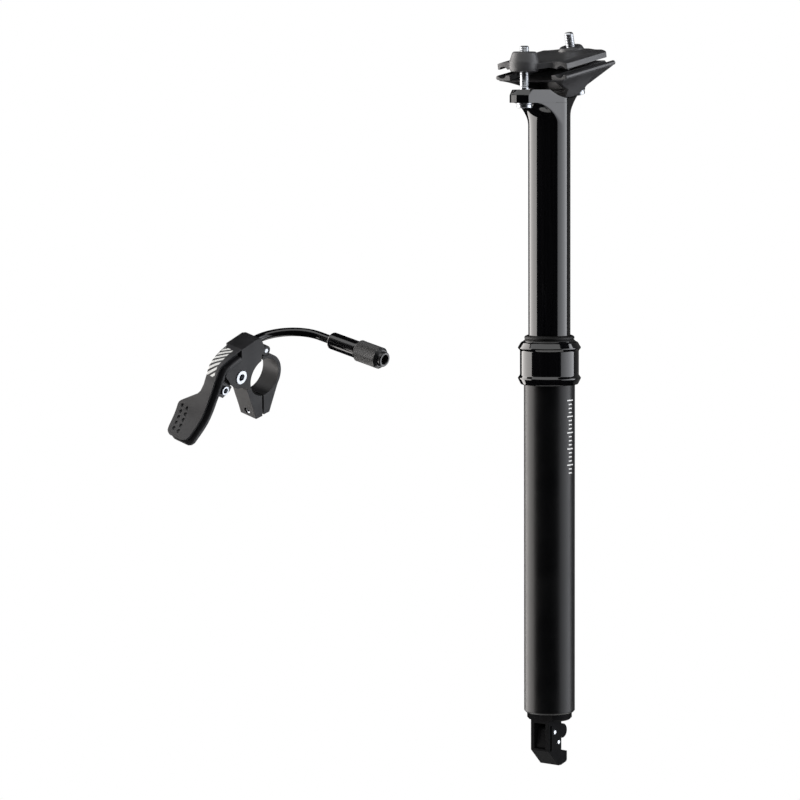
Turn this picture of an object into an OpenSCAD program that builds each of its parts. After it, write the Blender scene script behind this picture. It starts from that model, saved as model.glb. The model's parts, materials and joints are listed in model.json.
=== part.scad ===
// Dropper seatpost with its handlebar remote.
// Z runs up along the post, X points to the front of the bicycle, Y to its left.
// The origin is on the post's axis at the underside of the seal collar.

/* [Outer tube] */
// Outside diameter of the tube that slides into the frame
tube_d = 31.6; // [30.9:0.1:34.9]
// Bore of the tube
tube_bore_d = 28.8; // [28.6:0.1:29.4]
// Room between the stanchion and the plug when the post is down
foot_room = 7; // [5:0.5:40]
// Length of the tube inside the collar
tube_in_collar = 16; // [12:0.5:18]
// Chamfer at the foot of the tube
tube_chamfer = 1; // [0.5:0.1:1.2]
// Diameter of the tube's neck that the collar screws onto
tube_neck_d = 30.6; // [30:0.1:30.8]

/* [Seal collar] */
// Diameter over the two grip flanges
collar_d = 39.2; // [37.6:0.1:42]
// Diameter of the waist between the flanges
collar_waist_d = 37.6; // [36.4:0.1:38.4]
// Height of the collar
collar_h = 27; // [25:0.5:34]
// Height of the lower flange with its chamfer
collar_foot_h = 6.4; // [5:0.1:8]
// Height of the upper flange with its chamfer
collar_crown_h = 4.8; // [4:0.1:6]
// Diameter of the wiper seal
seal_d = 31.2; // [30:0.1:32]
// Height of the wiper seal above the collar
seal_h = 3.4; // [2:0.1:5]

/* [Stanchion] */
// Outside diameter of the sliding stanchion
stanchion_d = 26; // [25.4:0.1:26.4]
// Bore of the stanchion
stanchion_bore_d = 23; // [22:0.1:23.4]
// Travel of the drop
travel = 125; // [80:1:150]
// Stanchion left in view under the neck of the head when the post is down
neck_room = 4; // [2:0.1:20]
// Stanchion below the underside of the collar when it is up
overlap = 65; // [60:1:70]
// Length of the lower bushing
lower_bushing_l = 15; // [10:1:18]
// Length of the upper bushing
upper_bushing_l = 20; // [16:1:26]
// Width of a guide key
key_w = 3; // [2:0.1:4]
// Length of a guide key
key_l = 14; // [8:1:18]
// How far a guide key stands into the tube's wall
key_reach = 0.5; // [0.3:0.05:0.6]

/* [Gas spring] */
// Bore of the gas cartridge
cartridge_bore_d = 19; // [18:0.1:20]
// Gas room over the piston when the post is down
gas_room = 16; // [12:1:17]
// Diameter of the piston rod
rod_d = 10; // [8:0.1:12]
// Length of the rod's gland
gland_l = 14; // [10:1:16]
// Thickness of the piston
piston_h = 8; // [6:0.5:9]
// Thickness of the cartridge's cap
cap_h = 8; // [5:0.5:10]
// Diameter of the valve pin
valve_d = 3; // [2:0.1:3.6]

/* [Head] */
// Radius of the scoop under the front lug
front_scoop_r = 14; // [12:0.1:15]
// Radius of the scoop under the rear lug
rear_scoop_r = 16; // [14:0.1:17]
// Height from the neck to the start of the rear scoop
rear_scoop_rise = 6; // [4:0.1:8]
// Height of a bolt lug
lug_h = 8; // [6:0.1:8.5]
// Width of a bolt lug
lug_w = 14.6; // [13:0.1:15.4]
// Chamfer on the corners of a bolt lug's end
lug_chamfer = 5.3; // [4:0.1:6]
// Forward end of the front lug
front_lug_x = 35.8; // [34:0.1:37]
// Rear end of the rear lug
rear_lug_x = -32.5; // [-35:0.1:-31.5]

/* [Rail clamp] */
// Radius of the round seat that sets the saddle's angle
seat_r = 30; // [28:0.1:34]
// Height of the seat's lowest point above the neck
seat_floor = 17; // [16.5:0.1:19]
// Place of the centre of the seat along the bicycle
clamp_x = -4; // [-5:0.1:-3]
// Height of the rails' middle above the neck
rail_rise = 36.5; // [36:0.1:38]
// Nose-down angle of the clamp
clamp_pitch = 10.4; // [8:0.1:11]
// Diameter of a saddle rail
rail_d = 7; // [6.8:0.1:7.2]
// Distance between the two saddle rails
rail_gauge = 44; // [42:0.5:45]
// Length of the lower cradle along the rails
cradle_l = 52; // [46:0.5:54]
// Width of the lower cradle over its lips
cradle_w = 54; // [53:0.5:57]
// Width of the cradle's round foot
foot_w = 22; // [16:0.5:24]
// Length of the upper yoke along the rails
yoke_l = 42; // [36:0.5:44]
// Width of the upper yoke
yoke_w = 52; // [51:0.5:55]
// Diameter of the yoke's front boss at its top
front_boss_d = 15; // [13:0.1:16]
// Height of the yoke's front boss
front_boss_h = 12.4; // [11:0.1:13]
// Flare of the front boss at its foot
front_boss_flare = 3.8; // [2:0.1:4.2]
// Height of the yoke's rear boss
rear_boss_h = 8; // [7:0.1:9]
// Diameter of the clamp bolts
clamp_bolt_d = 5; // [4.8:0.1:5.2]
// Place of the front bolt along the bicycle
front_bolt_x = 25.2; // [25:0.1:26]
// Lean of the rear bolt
rear_bolt_lean = 14; // [12:0.5:15]
// Diameter of a bolt head
bolt_head_d = 9.4; // [8.5:0.1:9.6]
// Height of a bolt head
bolt_head_h = 2.4; // [2:0.1:4]
// Thickness of a bolt washer
washer_t = 0.8; // [0.5:0.1:1.2]

/* [Actuator] */
// Height of the plug inside the tube
plug_h = 8; // [6:0.5:12]
// Diameter of the plug's rim under the tube
plug_rim_d = 27.9; // [26:0.1:28]
// Height of the plug's rim
plug_rim_h = 4.5; // [3:0.1:6]
// Width of the bracket
bracket_w = 14; // [13:0.1:16]
// Depth of the bracket from front to rear
bracket_l = 13; // [12.5:0.1:14]
// Height of the bracket under the plug's rim
bracket_h = 29; // [28:0.5:34]
// Thickness of a bracket cheek
cheek_t = 2.6; // [2:0.1:3]
// Diameter of the lever's pivot pin
act_pin_d = 2.4; // [2:0.1:3]
// Diameter of the cable end barrel
cable_barrel_d = 5; // [4:0.1:5.4]

/* [Remote clamp] */
// Diameter of the handlebar
bar_d = 22.2; // [22:0.1:22.4]
// Width of the clamp along the handlebar
clamp_w = 12; // [11:0.1:14]
// Wall of the clamp cap
cap_wall = 2.1; // [1.8:0.1:3]
// Slit between the two clamp ears
ear_slit = 1.2; // [0.8:0.1:2]
// Distance from the handlebar's middle to the end of the ears
ear_reach = 24; // [23:0.5:28]
// Diameter of the pinch bolt
pinch_bolt_d = 4; // [3:0.1:4.5]
// Diameter of the hinge pin
hinge_pin_d = 2.4; // [2:0.1:2.6]

/* [Remote lever] */
// Radius of the lever's round back
lever_back_r = 17.8; // [17.4:0.1:19]
// Radius of the bend into the paddle
lever_bend_r = 15.4; // [13:0.1:18]
// Slope of the paddle, in degrees
paddle_slope = 36.9; // [30:0.1:42]
// Length of the flat of the paddle
paddle_l = 17.8; // [15:0.1:24]
// Thickness of the lever's upper layer
lever_t = 2.8; // [2.4:0.1:3]
// Thickness of the flange under the paddle
flange_t = 2.6; // [1.5:0.1:3]
// How far the paddle flares past the clamp at its widest
paddle_flare = 12; // [9:0.1:14]
// How far the end of the paddle reaches past the clamp
paddle_tip = 3.5; // [2:0.1:6]
// Diameter of the pivot bolt
pivot_bolt_d = 5; // [4:0.1:5.4]
// Diameter of the pivot bolt's head
pivot_head_d = 7.8; // [7:0.1:8.4]

/* [Cable end] */
// Diameter of the bent noodle tube
noodle_d = 4.8; // [4:0.1:5]
// Bend radius of the noodle
noodle_r = 25; // [20:0.5:30]
// Length of the noodle's straight end
noodle_run = 9; // [6:0.5:12]
// Upward tilt of the noodle, in degrees
noodle_tilt = 3; // [0:0.5:6]
// Diameter of the noodle's ferrule
ferrule_d = 9.6; // [8:0.1:10.4]
// Length of the ferrule
ferrule_l = 20.4; // [14:0.1:24]
// Diameter of the barrel adjuster
adjuster_d = 12.5; // [11.4:0.1:13.5]
// Length of the barrel adjuster
adjuster_l = 16.8; // [14:0.1:20]
// Number of grip ribs on the barrel adjuster
adjuster_ribs = 24; // [18:1:30]
// Bore of the adjuster for the cable housing
housing_bore_d = 5.2; // [4.6:0.1:5.4]

/* [Clearances] */
// Radial clearance of a bearing or sliding fit
run_fit = 0.05; // [0.02:0.01:0.08]
// Free gap between pieces that move past each other
free_gap = 0.3; // [0.25:0.05:0.4]
// Radial clearance of a bolt hole
bolt_fit = 0.4; // [0.3:0.05:0.5]

/* [Hidden] */
$fn = 64;
eps = 0.01;

// Heights on the post
neck_z = collar_h + seal_h + travel + neck_room;
stanchion_foot = -overlap;
tube_len = overlap + travel + foot_room + plug_h;
plug_top = -tube_len + plug_h;
rim_foot = -tube_len - plug_rim_h;
bore_roof = 8;
bore_top = neck_z - bore_roof;
seal_seat_h = 8;
collar_bevel = 2.4;
collar_rim = 1.6;
bead_slope = 2;
bead_shoulder = 0.6;
key_depth = 0.8;
key_gap = 2;
key_foot = stanchion_foot + lower_bushing_l + key_gap;

// Gas spring
ring_h = 2;
cartridge_foot = stanchion_foot + ring_h;
gland_top = cartridge_foot + gland_l;
piston_gap = 10;
piston_z = gland_top + piston_gap;
cartridge_top = piston_z + piston_h + travel + gas_room + cap_h;
piston_r = cartridge_bore_d / 2 - run_fit;
piston_groove = 2.4;
plug_floor = 2;
rod_foot = -tube_len + plug_floor;
valve_bore_l = 24;
valve_bore_top = rod_foot + valve_bore_l;

// Head and clamp
seat_rise = seat_floor + seat_r;
seat_z = neck_z + seat_rise;
rail_z = neck_z + rail_rise;
front_lug_z = neck_z + front_scoop_r;
rear_lug_z = neck_z + rear_scoop_rise + rear_scoop_r;
rail_r = rail_d / 2;
lip_drop = 1.6;
yoke_rise = 1.6;
yoke_t = 3.2;
yoke_crown = 1.5;
front_boss_top = neck_z + 45;
rear_boss_top = neck_z + 49.5;
boss_draft = 1.5;
boss_round = 1.2;
lug_bevel = 2.9;
arm_inset = 0.1;
front_bolt_top = neck_z + 48.5;
rear_bolt_x = -27.5;
rear_bolt_l = 36;
bolt_slot = 3.4;
groove_keys = [40, 160, 280];

// Actuator
bracket_front = 10;
bracket_rear = bracket_front - bracket_l;
bracket_top = rim_foot;
bracket_foot = bracket_top - bracket_h;
bracket_bevel = 10;
slot_w = bracket_w - 2 * cheek_t;
act_pivot = [3.5, bracket_top - 7.5];
cross_pin = [-0.4, bracket_top - 14.2];
ear_lobe = [-4.3, bracket_top - 7.6];
ear_lobe_r = 4.5;
stop_back = -8.8;
stop_foot = bracket_foot + 1.4;
stop_h = 8.2;
barrel_at = [5.4, bracket_top - 16.5];
lever_hub_r = 3.1;
nose_r = 1.4;
valve_foot = bracket_top - 3.1;

// Remote
bar_at = [264, 0, 22];
bar_turn = [-16, 17.6];
pivot_at = [18.4, 7];
back_at = [19, 4.5];
bar_r = bar_d / 2;
ring_r = bar_r + cap_wall;
block_top = 25.6;
block_x = [2, 17.6];
hinge_at = [-1.8, bar_r + 4.6];
hinge_r = 2.9;
hinge_w = clamp_w / 3;
slit_x = 1.6;
pinch_z = -ear_reach + 3.6;
plate_t = 2.6;
fin_r = lever_back_r - lever_t - 1.2;
web_w = clamp_w - 2 * plate_t - 2 * free_gap;
web_front = -plate_t - free_gap;
pivot_seat = 1.7;
pinch_y = -clamp_w / 2;
hub_r = 7;
hub_bush_d = pivot_bolt_d + 2;
clamp_screw_at = [29.2, 2.2];
clamp_screw_d = 5;
bend_at = [back_at[0] + lever_back_r + lever_bend_r, back_at[1]];
bend_turn = 90 - paddle_slope;
paddle_at = [bend_at[0] - lever_bend_r * cos(bend_turn), bend_at[1] - lever_bend_r * sin(bend_turn)];
paddle_end_z = paddle_at[1] - paddle_l * sin(paddle_slope);
tip_cut = 2.4;
noodle_at = [block_x[0], -clamp_w / 2, block_top - noodle_d / 2 - 1.7];
noodle_seat = 6;
noodle_lead = 2;
noodle_bore_d = 2;
spigot_l = 6;
spigot_d = 5;
nozzle_l = 2.2;
nozzle_d = 8.4;
cable_d = 1.8;

// A flat outline in X and Z, carried along Y from one place to another
module across(y_from, y_to) {
    translate([0, y_to, 0]) rotate([90, 0, 0]) linear_extrude(height = y_to - y_from) children();
}

// A round bar along Y at a place in X and Z
module bar_y(at, d, y_from, y_to) {
    across(y_from, y_to) translate(at) circle(d = d);
}

// A plain tube between two heights
module tube(d_out, d_in, z_from, z_to) {
    translate([0, 0, z_from]) difference() {
        cylinder(d = d_out, h = z_to - z_from);
        translate([0, 0, -eps]) cylinder(d = d_in, h = z_to - z_from + 2 * eps);
    }
}

// The clamp's own frame: along the rails, its origin between them under the seat's centre
module on_rails() {
    translate([clamp_x, 0, rail_z]) rotate([0, clamp_pitch, 0]) children();
}

// The rear bolt's own frame: its axis is Z, its origin where it meets the rear lug's underside
module on_rear_bolt() {
    translate([rear_bolt_x, 0, rear_lug_z + lug_h / 2]) rotate([0, rear_bolt_lean, 0])
        translate([0, 0, -lug_h / 2]) children();
}

// The noodle's own frame: it leaves the block along -X, and its straight end runs along Y
module on_noodle() {
    on_bar() translate(noodle_at) rotate([noodle_tilt, 0, 0]) children();
}

// The place of the ferrule's start, and its axis as Z
module on_ferrule() {
    on_noodle() translate([-noodle_lead - noodle_r, noodle_r + noodle_run, 0]) rotate([-90, 0, 0]) children();
}

// The remote's own frame: Y is the handlebar's axis, X the lever's side and Z the hinge's side
module on_bar() {
    translate(bar_at) rotate([bar_turn[0], 0, 0]) rotate([0, bar_turn[1], 0]) children();
}

module outer_tube() {
    color("#1c1c1e") difference() {
        rotate_extrude() polygon([
            [tube_bore_d / 2, -tube_len], [tube_d / 2 - tube_chamfer, -tube_len],
            [tube_d / 2, -tube_len + tube_chamfer], [tube_d / 2, 0], [tube_neck_d / 2, 0],
            [tube_neck_d / 2, tube_in_collar], [tube_bore_d / 2, tube_in_collar]
        ]);
        // Keyways for the guide keys, up to the upper bushing
        key_top = tube_in_collar - upper_bushing_l - 10;
        for (a = groove_keys) rotate(a)
            translate([0, -key_w / 2 - free_gap, plug_top])
                cube([tube_bore_d / 2 + key_reach + free_gap, key_w + 2 * free_gap, key_top - plug_top]);
    }
}

module seal_collar() {
    flange = collar_d / 2;
    waist = collar_waist_d / 2;
    foot_peak = collar_foot_h - bead_slope;
    crown_peak = collar_h - collar_crown_h + bead_slope;
    color("#141416") rotate_extrude() polygon([
        [tube_neck_d / 2, 0], [flange - collar_bevel, 0], [flange - bead_shoulder, foot_peak - bead_slope],
        [flange, foot_peak], [waist, collar_foot_h], [waist, collar_h - collar_crown_h],
        [flange, crown_peak], [flange - collar_rim, collar_h], [seal_d / 2, collar_h],
        [seal_d / 2, collar_h - seal_seat_h], [stanchion_d / 2 + 1, collar_h - seal_seat_h],
        [stanchion_d / 2 + 1, tube_in_collar], [tube_neck_d / 2, tube_in_collar]
    ]);
}

module wiper_seal() {
    bore = stanchion_d / 2 + free_gap;
    rim = seal_d / 2;
    color("#0e0e0f") rotate_extrude() polygon([
        [bore + 0.6, collar_h - seal_seat_h], [rim, collar_h - seal_seat_h], [rim, collar_h + seal_h * 0.55],
        [rim - 0.5, collar_h + seal_h * 0.7], [bore + 0.9, collar_h + seal_h], [bore, collar_h + seal_h],
        [bore, collar_h + seal_h - 1.2], [bore + 0.6, collar_h + seal_h - 2]
    ]);
}

module upper_bushing() {
    color("#3a3a34") tube(tube_bore_d, stanchion_d + 2 * run_fit, tube_in_collar - upper_bushing_l, tube_in_collar);
}

module bottom_plug() {
    round_r = 1.2;
    color("#202022") difference() {
        union() {
            translate([0, 0, -tube_len]) cylinder(d = tube_bore_d, h = plug_top + tube_len);
            translate([0, 0, rim_foot + round_r]) cylinder(d = plug_rim_d, h = plug_rim_h - round_r);
            translate([0, 0, rim_foot]) cylinder(d1 = plug_rim_d - 2 * round_r, d2 = plug_rim_d, h = round_r);
        }
        translate([0, 0, rod_foot]) cylinder(d = rod_d, h = tube_len);
        translate([0, 0, rim_foot - eps]) cylinder(d = valve_d + 2 * run_fit, h = plug_rim_h + tube_len);
        // Flat on the rim, level with the bracket's front
        translate([bracket_front, -tube_d / 2, rim_foot - eps])
            cube([tube_d, tube_d, plug_rim_h]);
    }
}

module piston_rod() {
    color("#b8bcc0") difference() {
        translate([0, 0, rod_foot]) cylinder(d = rod_d, h = piston_z - rod_foot);
        translate([0, 0, rod_foot - eps]) cylinder(d = valve_d + 2 * run_fit, h = valve_bore_top - rod_foot);
    }
}

// The piston is grooved for its seal ring
module rod_piston() {
    seat = (piston_h - piston_groove) / 2;
    color("#8a8d90") translate([0, 0, piston_z]) rotate_extrude() polygon([
        [0, 0], [piston_r, 0], [piston_r, seat], [piston_r - piston_groove, seat],
        [piston_r - piston_groove, seat + piston_groove], [piston_r, seat + piston_groove],
        [piston_r, piston_h], [0, piston_h]
    ]);
}

module piston_seal() {
    color("#101010") translate([0, 0, piston_z + piston_h / 2]) rotate_extrude()
        translate([piston_r - piston_groove / 2, 0]) circle(d = piston_groove);
}

module bracket_side() {
    polygon([
        [bracket_rear, bracket_top], [bracket_front, bracket_top],
        [bracket_front, bracket_foot + bracket_bevel], [bracket_front - bracket_bevel, bracket_foot],
        [bracket_rear, bracket_foot], [stop_back + 0.8, stop_foot], [stop_back, stop_foot + 1],
        [stop_back, stop_foot + stop_h - 1.5], [bracket_rear, stop_foot + stop_h]
    ]);
}

module actuator_bracket() {
    top_t = 1.8;
    floor_t = 1.2;
    back_t = 1;
    groove_x = [bracket_front - 3, bracket_front - 1];
    groove_t = 0.8;
    color("#2c2c2e") difference() {
        union() {
            across(-bracket_w / 2, bracket_w / 2) bracket_side();
            bar_y(ear_lobe, 2 * ear_lobe_r, -bracket_w / 2, bracket_w / 2);
        }
        // Room for the lever between the cheeks, open to the front
        across(-slot_w / 2, slot_w / 2) polygon([
            [bracket_rear + back_t, bracket_top - top_t], [bracket_front + eps, bracket_top - top_t],
            [bracket_front + eps, bracket_foot + bracket_bevel + floor_t],
            [bracket_front - bracket_bevel + floor_t / 2, bracket_foot + floor_t],
            [bracket_rear + back_t, bracket_foot + floor_t]
        ]);
        // Gap behind the cheeks' round lobes
        translate([stop_back - 1, -slot_w / 2, stop_foot + stop_h])
            cube([bracket_rear - stop_back + 1, slot_w, bracket_top - stop_foot]);
        // Upright groove beside the front edge of each cheek
        for (s = [-1, 1])
            translate([groove_x[0], s * bracket_w / 2 - groove_t, bracket_foot + bracket_bevel])
                cube([groove_x[1] - groove_x[0], 2 * groove_t, bracket_h - bracket_bevel - 3]);
        // Valve hole, pin holes, and the seat of the cable housing
        translate([0, 0, bracket_top - bracket_h / 2]) cylinder(d = valve_d + 2 * free_gap, h = bracket_h);
        bar_y(act_pivot, act_pin_d, -bracket_w, bracket_w);
        bar_y(cross_pin, act_pin_d, -bracket_w, bracket_w);
        translate([stop_back - 1, 0, stop_foot + stop_h / 2]) rotate([0, 90, 0]) {
            cylinder(d = housing_bore_d, h = bracket_rear - stop_back);
            cylinder(d = cable_d, h = bracket_rear - stop_back + 4);
        }
    }
}

module actuator_pivot_pin() {
    color("silver") bar_y(act_pivot, act_pin_d, -bracket_w / 2, bracket_w / 2);
}

module actuator_cross_pin() {
    color("silver") bar_y(cross_pin, act_pin_d, -bracket_w / 2, bracket_w / 2);
}

// Side view of the forged head: two lugs over round scoops
module head_side() {
    front_top = front_lug_z + lug_h;
    rear_top = rear_lug_z + lug_h;
    difference() {
        polygon([
            [-stanchion_d / 2, neck_z], [stanchion_d / 2, neck_z],
            [stanchion_d / 2, front_lug_z], [front_lug_x, front_lug_z],
            [front_lug_x, front_top - lug_bevel], [front_lug_x - lug_bevel, front_top],
            [clamp_x, front_top], [clamp_x, rear_top], [rear_lug_x + lug_bevel, rear_top],
            [rear_lug_x, rear_top - lug_bevel], [rear_lug_x, rear_lug_z], [-stanchion_d / 2, rear_lug_z]
        ]);
        translate([clamp_x, seat_z]) circle(r = seat_r + free_gap);
    }
    // Webs that fill the corners under the lugs down to the scoops
    difference() {
        translate([stanchion_d / 2 - eps, neck_z]) square([front_scoop_r, front_scoop_r]);
        translate([stanchion_d / 2 + front_scoop_r, neck_z]) circle(r = front_scoop_r);
    }
    difference() {
        translate([-stanchion_d / 2 - rear_scoop_r, rear_lug_z - rear_scoop_r])
            square([rear_scoop_r + eps, rear_scoop_r + eps]);
        translate([-stanchion_d / 2 - rear_scoop_r, rear_lug_z - rear_scoop_r]) circle(r = rear_scoop_r);
    }
}

// One side of an arm seen from above: from the lug's end over its chamfer to where it touches the stanchion
function arm_side(reach) = let(
    corner = [reach - lug_chamfer, lug_w / 2],
    round_r = stanchion_d / 2 - arm_inset,
    turn = atan2(corner[1], corner[0]) + acos(round_r / norm(corner))
) [[reach, corner[1] - lug_chamfer], corner, round_r * [cos(turn), sin(turn)]];

// Top view of the forged head: both arms taper from the stanchion to their lugs
module head_plan() {
    for (side = [[front_lug_x, 0], [-rear_lug_x, 1]]) mirror([side[1], 0]) {
        half = arm_side(side[0]);
        polygon([each half, [0, half[2][1]], [0, -half[2][1]],
                 for (i = [2 : -1 : 0]) [half[i][0], -half[i][1]]]);
    }
}

// The stanchion and its head are one forging
module stanchion() {
    hole_d = clamp_bolt_d + 2 * bolt_fit;
    color("#121214") difference() {
        union() {
            translate([0, 0, stanchion_foot]) cylinder(d = stanchion_d, h = front_lug_z + lug_h - stanchion_foot);
            intersection() {
                across(-stanchion_d, stanchion_d) head_side();
                translate([0, 0, neck_z]) linear_extrude(height = seat_rise) head_plan();
            }
        }
        bar_y([clamp_x, seat_z], 2 * (seat_r + free_gap), -stanchion_d, stanchion_d);
        translate([0, 0, stanchion_foot - eps]) cylinder(d = stanchion_bore_d, h = bore_top - stanchion_foot);
        translate([front_bolt_x, 0, neck_z]) cylinder(d = hole_d, h = seat_rise);
        // Flat spot faces for the washers under both lugs
        translate([front_bolt_x, 0, neck_z]) cylinder(d = bolt_head_d + 2, h = front_scoop_r);
        on_rear_bolt() translate([0, 0, -seat_rise / 2]) cylinder(d = hole_d, h = seat_rise);
        on_rear_bolt() translate([0, 0, -seat_rise / 4]) cylinder(d = bolt_head_d + 2, h = seat_rise / 4);
        for (a = groove_keys) rotate(a)
            translate([stanchion_d / 2 - key_depth, -key_w / 2, key_foot])
                cube([stanchion_d, key_w, key_l]);
    }
}

module lower_bushing() {
    color("#3a3a34")
        tube(tube_bore_d - 2 * run_fit, stanchion_d, stanchion_foot, stanchion_foot + lower_bushing_l);
}

module guide_keys() {
    reach = tube_bore_d / 2 + key_reach - stanchion_d / 2 + key_depth;
    color("#b08d3c") for (a = groove_keys) rotate(a)
        translate([stanchion_d / 2 - key_depth, -key_w / 2, key_foot])
            cube([reach, key_w, key_l]);
}

module gas_cartridge() {
    color("#9a9ea2") tube(stanchion_bore_d, cartridge_bore_d, cartridge_foot, cartridge_top);
}

module cartridge_gland() {
    color("#55585b") tube(cartridge_bore_d, rod_d + 2 * run_fit, cartridge_foot, gland_top);
}

module cartridge_cap() {
    color("#55585b") translate([0, 0, cartridge_top - cap_h]) cylinder(d = cartridge_bore_d, h = cap_h);
}

module retaining_ring() {
    color("#44464a") tube(stanchion_bore_d, rod_d + 5, stanchion_foot, cartridge_foot);
}

// A clamp bolt: its head under the origin, its shank up to a bevelled end, its socket from below
module clamp_bolt(shank_l) {
    tip = 0.7;
    socket_d = 4.6;
    difference() {
        union() {
            translate([0, 0, -washer_t - bolt_head_h]) cylinder(d = bolt_head_d, h = bolt_head_h);
            translate([0, 0, -washer_t - eps]) cylinder(d = clamp_bolt_d, h = shank_l + washer_t - tip + eps);
            translate([0, 0, shank_l - tip]) cylinder(d1 = clamp_bolt_d, d2 = clamp_bolt_d - 2 * tip, h = tip);
        }
        translate([0, 0, -washer_t - bolt_head_h - eps]) cylinder(d = socket_d, h = bolt_head_h * 0.7, $fn = 6);
    }
}

module front_clamp_bolt() {
    color("#c8ccd0") translate([front_bolt_x, 0, front_lug_z]) clamp_bolt(front_bolt_top - front_lug_z);
}

module rear_clamp_bolt() {
    color("#c8ccd0") on_rear_bolt() clamp_bolt(rear_bolt_l);
}

module clamp_bolt_washers() {
    color("#c8ccd0") {
        translate([front_bolt_x, 0, front_lug_z]) tube(bolt_head_d + 0.6, clamp_bolt_d, -washer_t, 0);
        on_rear_bolt() tube(bolt_head_d + 0.6, clamp_bolt_d, -washer_t, 0);
    }
}

// Both saddle rails, as round bars to cut with
module rails() {
    on_rails() for (s = [-1, 1])
        translate([-cradle_l, s * rail_gauge / 2, 0]) rotate([0, 90, 0]) cylinder(r = rail_r, h = 2 * cradle_l);
}

// Boat-shaped cradle: a round foot that rocks in the head, flaring up to a groove under each rail
module lower_cradle() {
    lip_t = 2.2;
    rear_share = 0.54;
    foot_from = [-17, 11];
    foot_skin = 0.5;
    notch_w = clamp_bolt_d + 2 * bolt_fit + 2.4;
    tub_w = rail_gauge - rail_d - 5;
    web_t = 1.4;
    color("#1b1b1d") difference() {
        union() {
            hull() {
                on_rails() translate([-cradle_l * rear_share, -cradle_w / 2, -lip_drop - lip_t])
                    cube([cradle_l, cradle_w, lip_t]);
                intersection() {
                    bar_y([clamp_x, seat_z], 2 * (seat_r - foot_skin), -foot_w / 2, foot_w / 2);
                    translate([clamp_x + foot_from[0], -foot_w, seat_z - seat_r])
                        cube([foot_from[1] - foot_from[0] + 4, 2 * foot_w, 8]);
                }
            }
            // The foot's true round face
            intersection() {
                bar_y([clamp_x, seat_z], 2 * seat_r, -foot_w / 2, foot_w / 2);
                translate([clamp_x + foot_from[0], -foot_w, seat_z - seat_r - 1])
                    cube([foot_from[1] - foot_from[0], 2 * foot_w, 6]);
            }
        }
        rails();
        // Open tub between the rails, split by a level web at the front
        on_rails() translate([-cradle_l * 0.3, -tub_w / 2, -lip_drop - 7]) cube([cradle_l, tub_w, 12]);
        translate([clamp_x + 2, -foot_w / 2 + 2, seat_z - seat_r + 3])
            cube([cradle_l, foot_w - 4, 8 - web_t]);
        // Notch for the rear bolt
        translate([clamp_x - cradle_l, -notch_w / 2, neck_z]) cube([cradle_l - 12, notch_w, seat_rise]);
    }
}

// Yoke seen from above, in the clamp's frame
module yoke_plan() {
    half = yoke_w / 2;
    front = yoke_l * 0.51;
    rear = front - yoke_l;
    front_boss_u = (front_bolt_x - clamp_x) / cos(clamp_pitch);
    waist_r = 9;
    difference() {
        polygon([
            [rear - 5, -9], [rear, -half + 1.5], [rear + 1.5, -half], [front - 1.5, -half], [front, -half + 1.5],
            [front_boss_u, -9], [front_boss_u, 9], [front, half - 1.5], [front - 1.5, half],
            [rear + 1.5, half], [rear, half - 1.5], [rear - 5, 9]
        ]);
        for (s = [-1, 1]) translate([front_boss_u + 0.5, s * (waist_r + front_boss_d / 2 + boss_draft)])
            circle(r = waist_r);
    }
}

// Yoke seen along the rails: crowned on top, hooked over the rails below
module yoke_section() {
    half = yoke_w / 2;
    top = yoke_rise + yoke_t;
    polygon([
        [-half, yoke_rise], [-half, top], [-rail_gauge / 2 + 6, top + yoke_crown], [rail_gauge / 2 - 6, top + yoke_crown],
        [half, top], [half, yoke_rise], [rail_gauge / 2 - rail_r - 1, yoke_rise - 0.6],
        [rail_gauge / 2 - rail_r - 2.5, yoke_rise + 1.2], [-rail_gauge / 2 + rail_r + 2.5, yoke_rise + 1.2],
        [-rail_gauge / 2 + rail_r + 1, yoke_rise - 0.6]
    ]);
}

module upper_yoke() {
    slot = clamp_bolt_d + 2 * bolt_fit;
    boss_foot = front_boss_top - front_boss_h;
    rear_boss_d = front_boss_d - 1;
    boss_r = front_boss_d / 2;
    color("#1f1f21") difference() {
        union() {
            intersection() {
                on_rails() translate([0, 0, -rail_d]) linear_extrude(height = 3 * rail_d) yoke_plan();
                on_rails() rotate([90, 0, 90]) translate([0, 0, -yoke_l]) linear_extrude(height = 2 * yoke_l)
                    yoke_section();
            }
            translate([front_bolt_x, 0, boss_foot]) rotate_extrude() polygon([
                [0, 0], [boss_r + front_boss_flare, 0], [boss_r + front_boss_flare - 0.8, 1.6],
                [boss_r + boss_draft, front_boss_h / 2 - 1], [boss_r, front_boss_h - boss_round],
                [boss_r - boss_round, front_boss_h], [0, front_boss_h]
            ]);
            on_rear_bolt() translate([0, 0, rear_boss_top - rear_lug_z - rear_boss_h])
                cylinder(d1 = rear_boss_d + 4, d2 = rear_boss_d, h = rear_boss_h);
        }
        rails();
        // Bolt holes, long enough for the clamp to tilt
        for (u = [-bolt_slot / 2, bolt_slot / 2]) {
            translate([front_bolt_x + u, 0, neck_z]) cylinder(d = slot, h = 2 * seat_rise);
            on_rear_bolt() translate([u, 0, 0]) cylinder(d = slot, h = seat_rise);
        }
        translate([front_bolt_x - bolt_slot / 2, -slot / 2, neck_z]) cube([bolt_slot, slot, 2 * seat_rise]);
        on_rear_bolt() translate([-bolt_slot / 2, -slot / 2, 0]) cube([bolt_slot, slot, seat_rise]);
        // Shallow plain pocket in the top
        on_rails() translate([-8, 2, yoke_rise + yoke_t + yoke_crown - 0.6]) cube([12, 12, 2]);
    }
}

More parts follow.
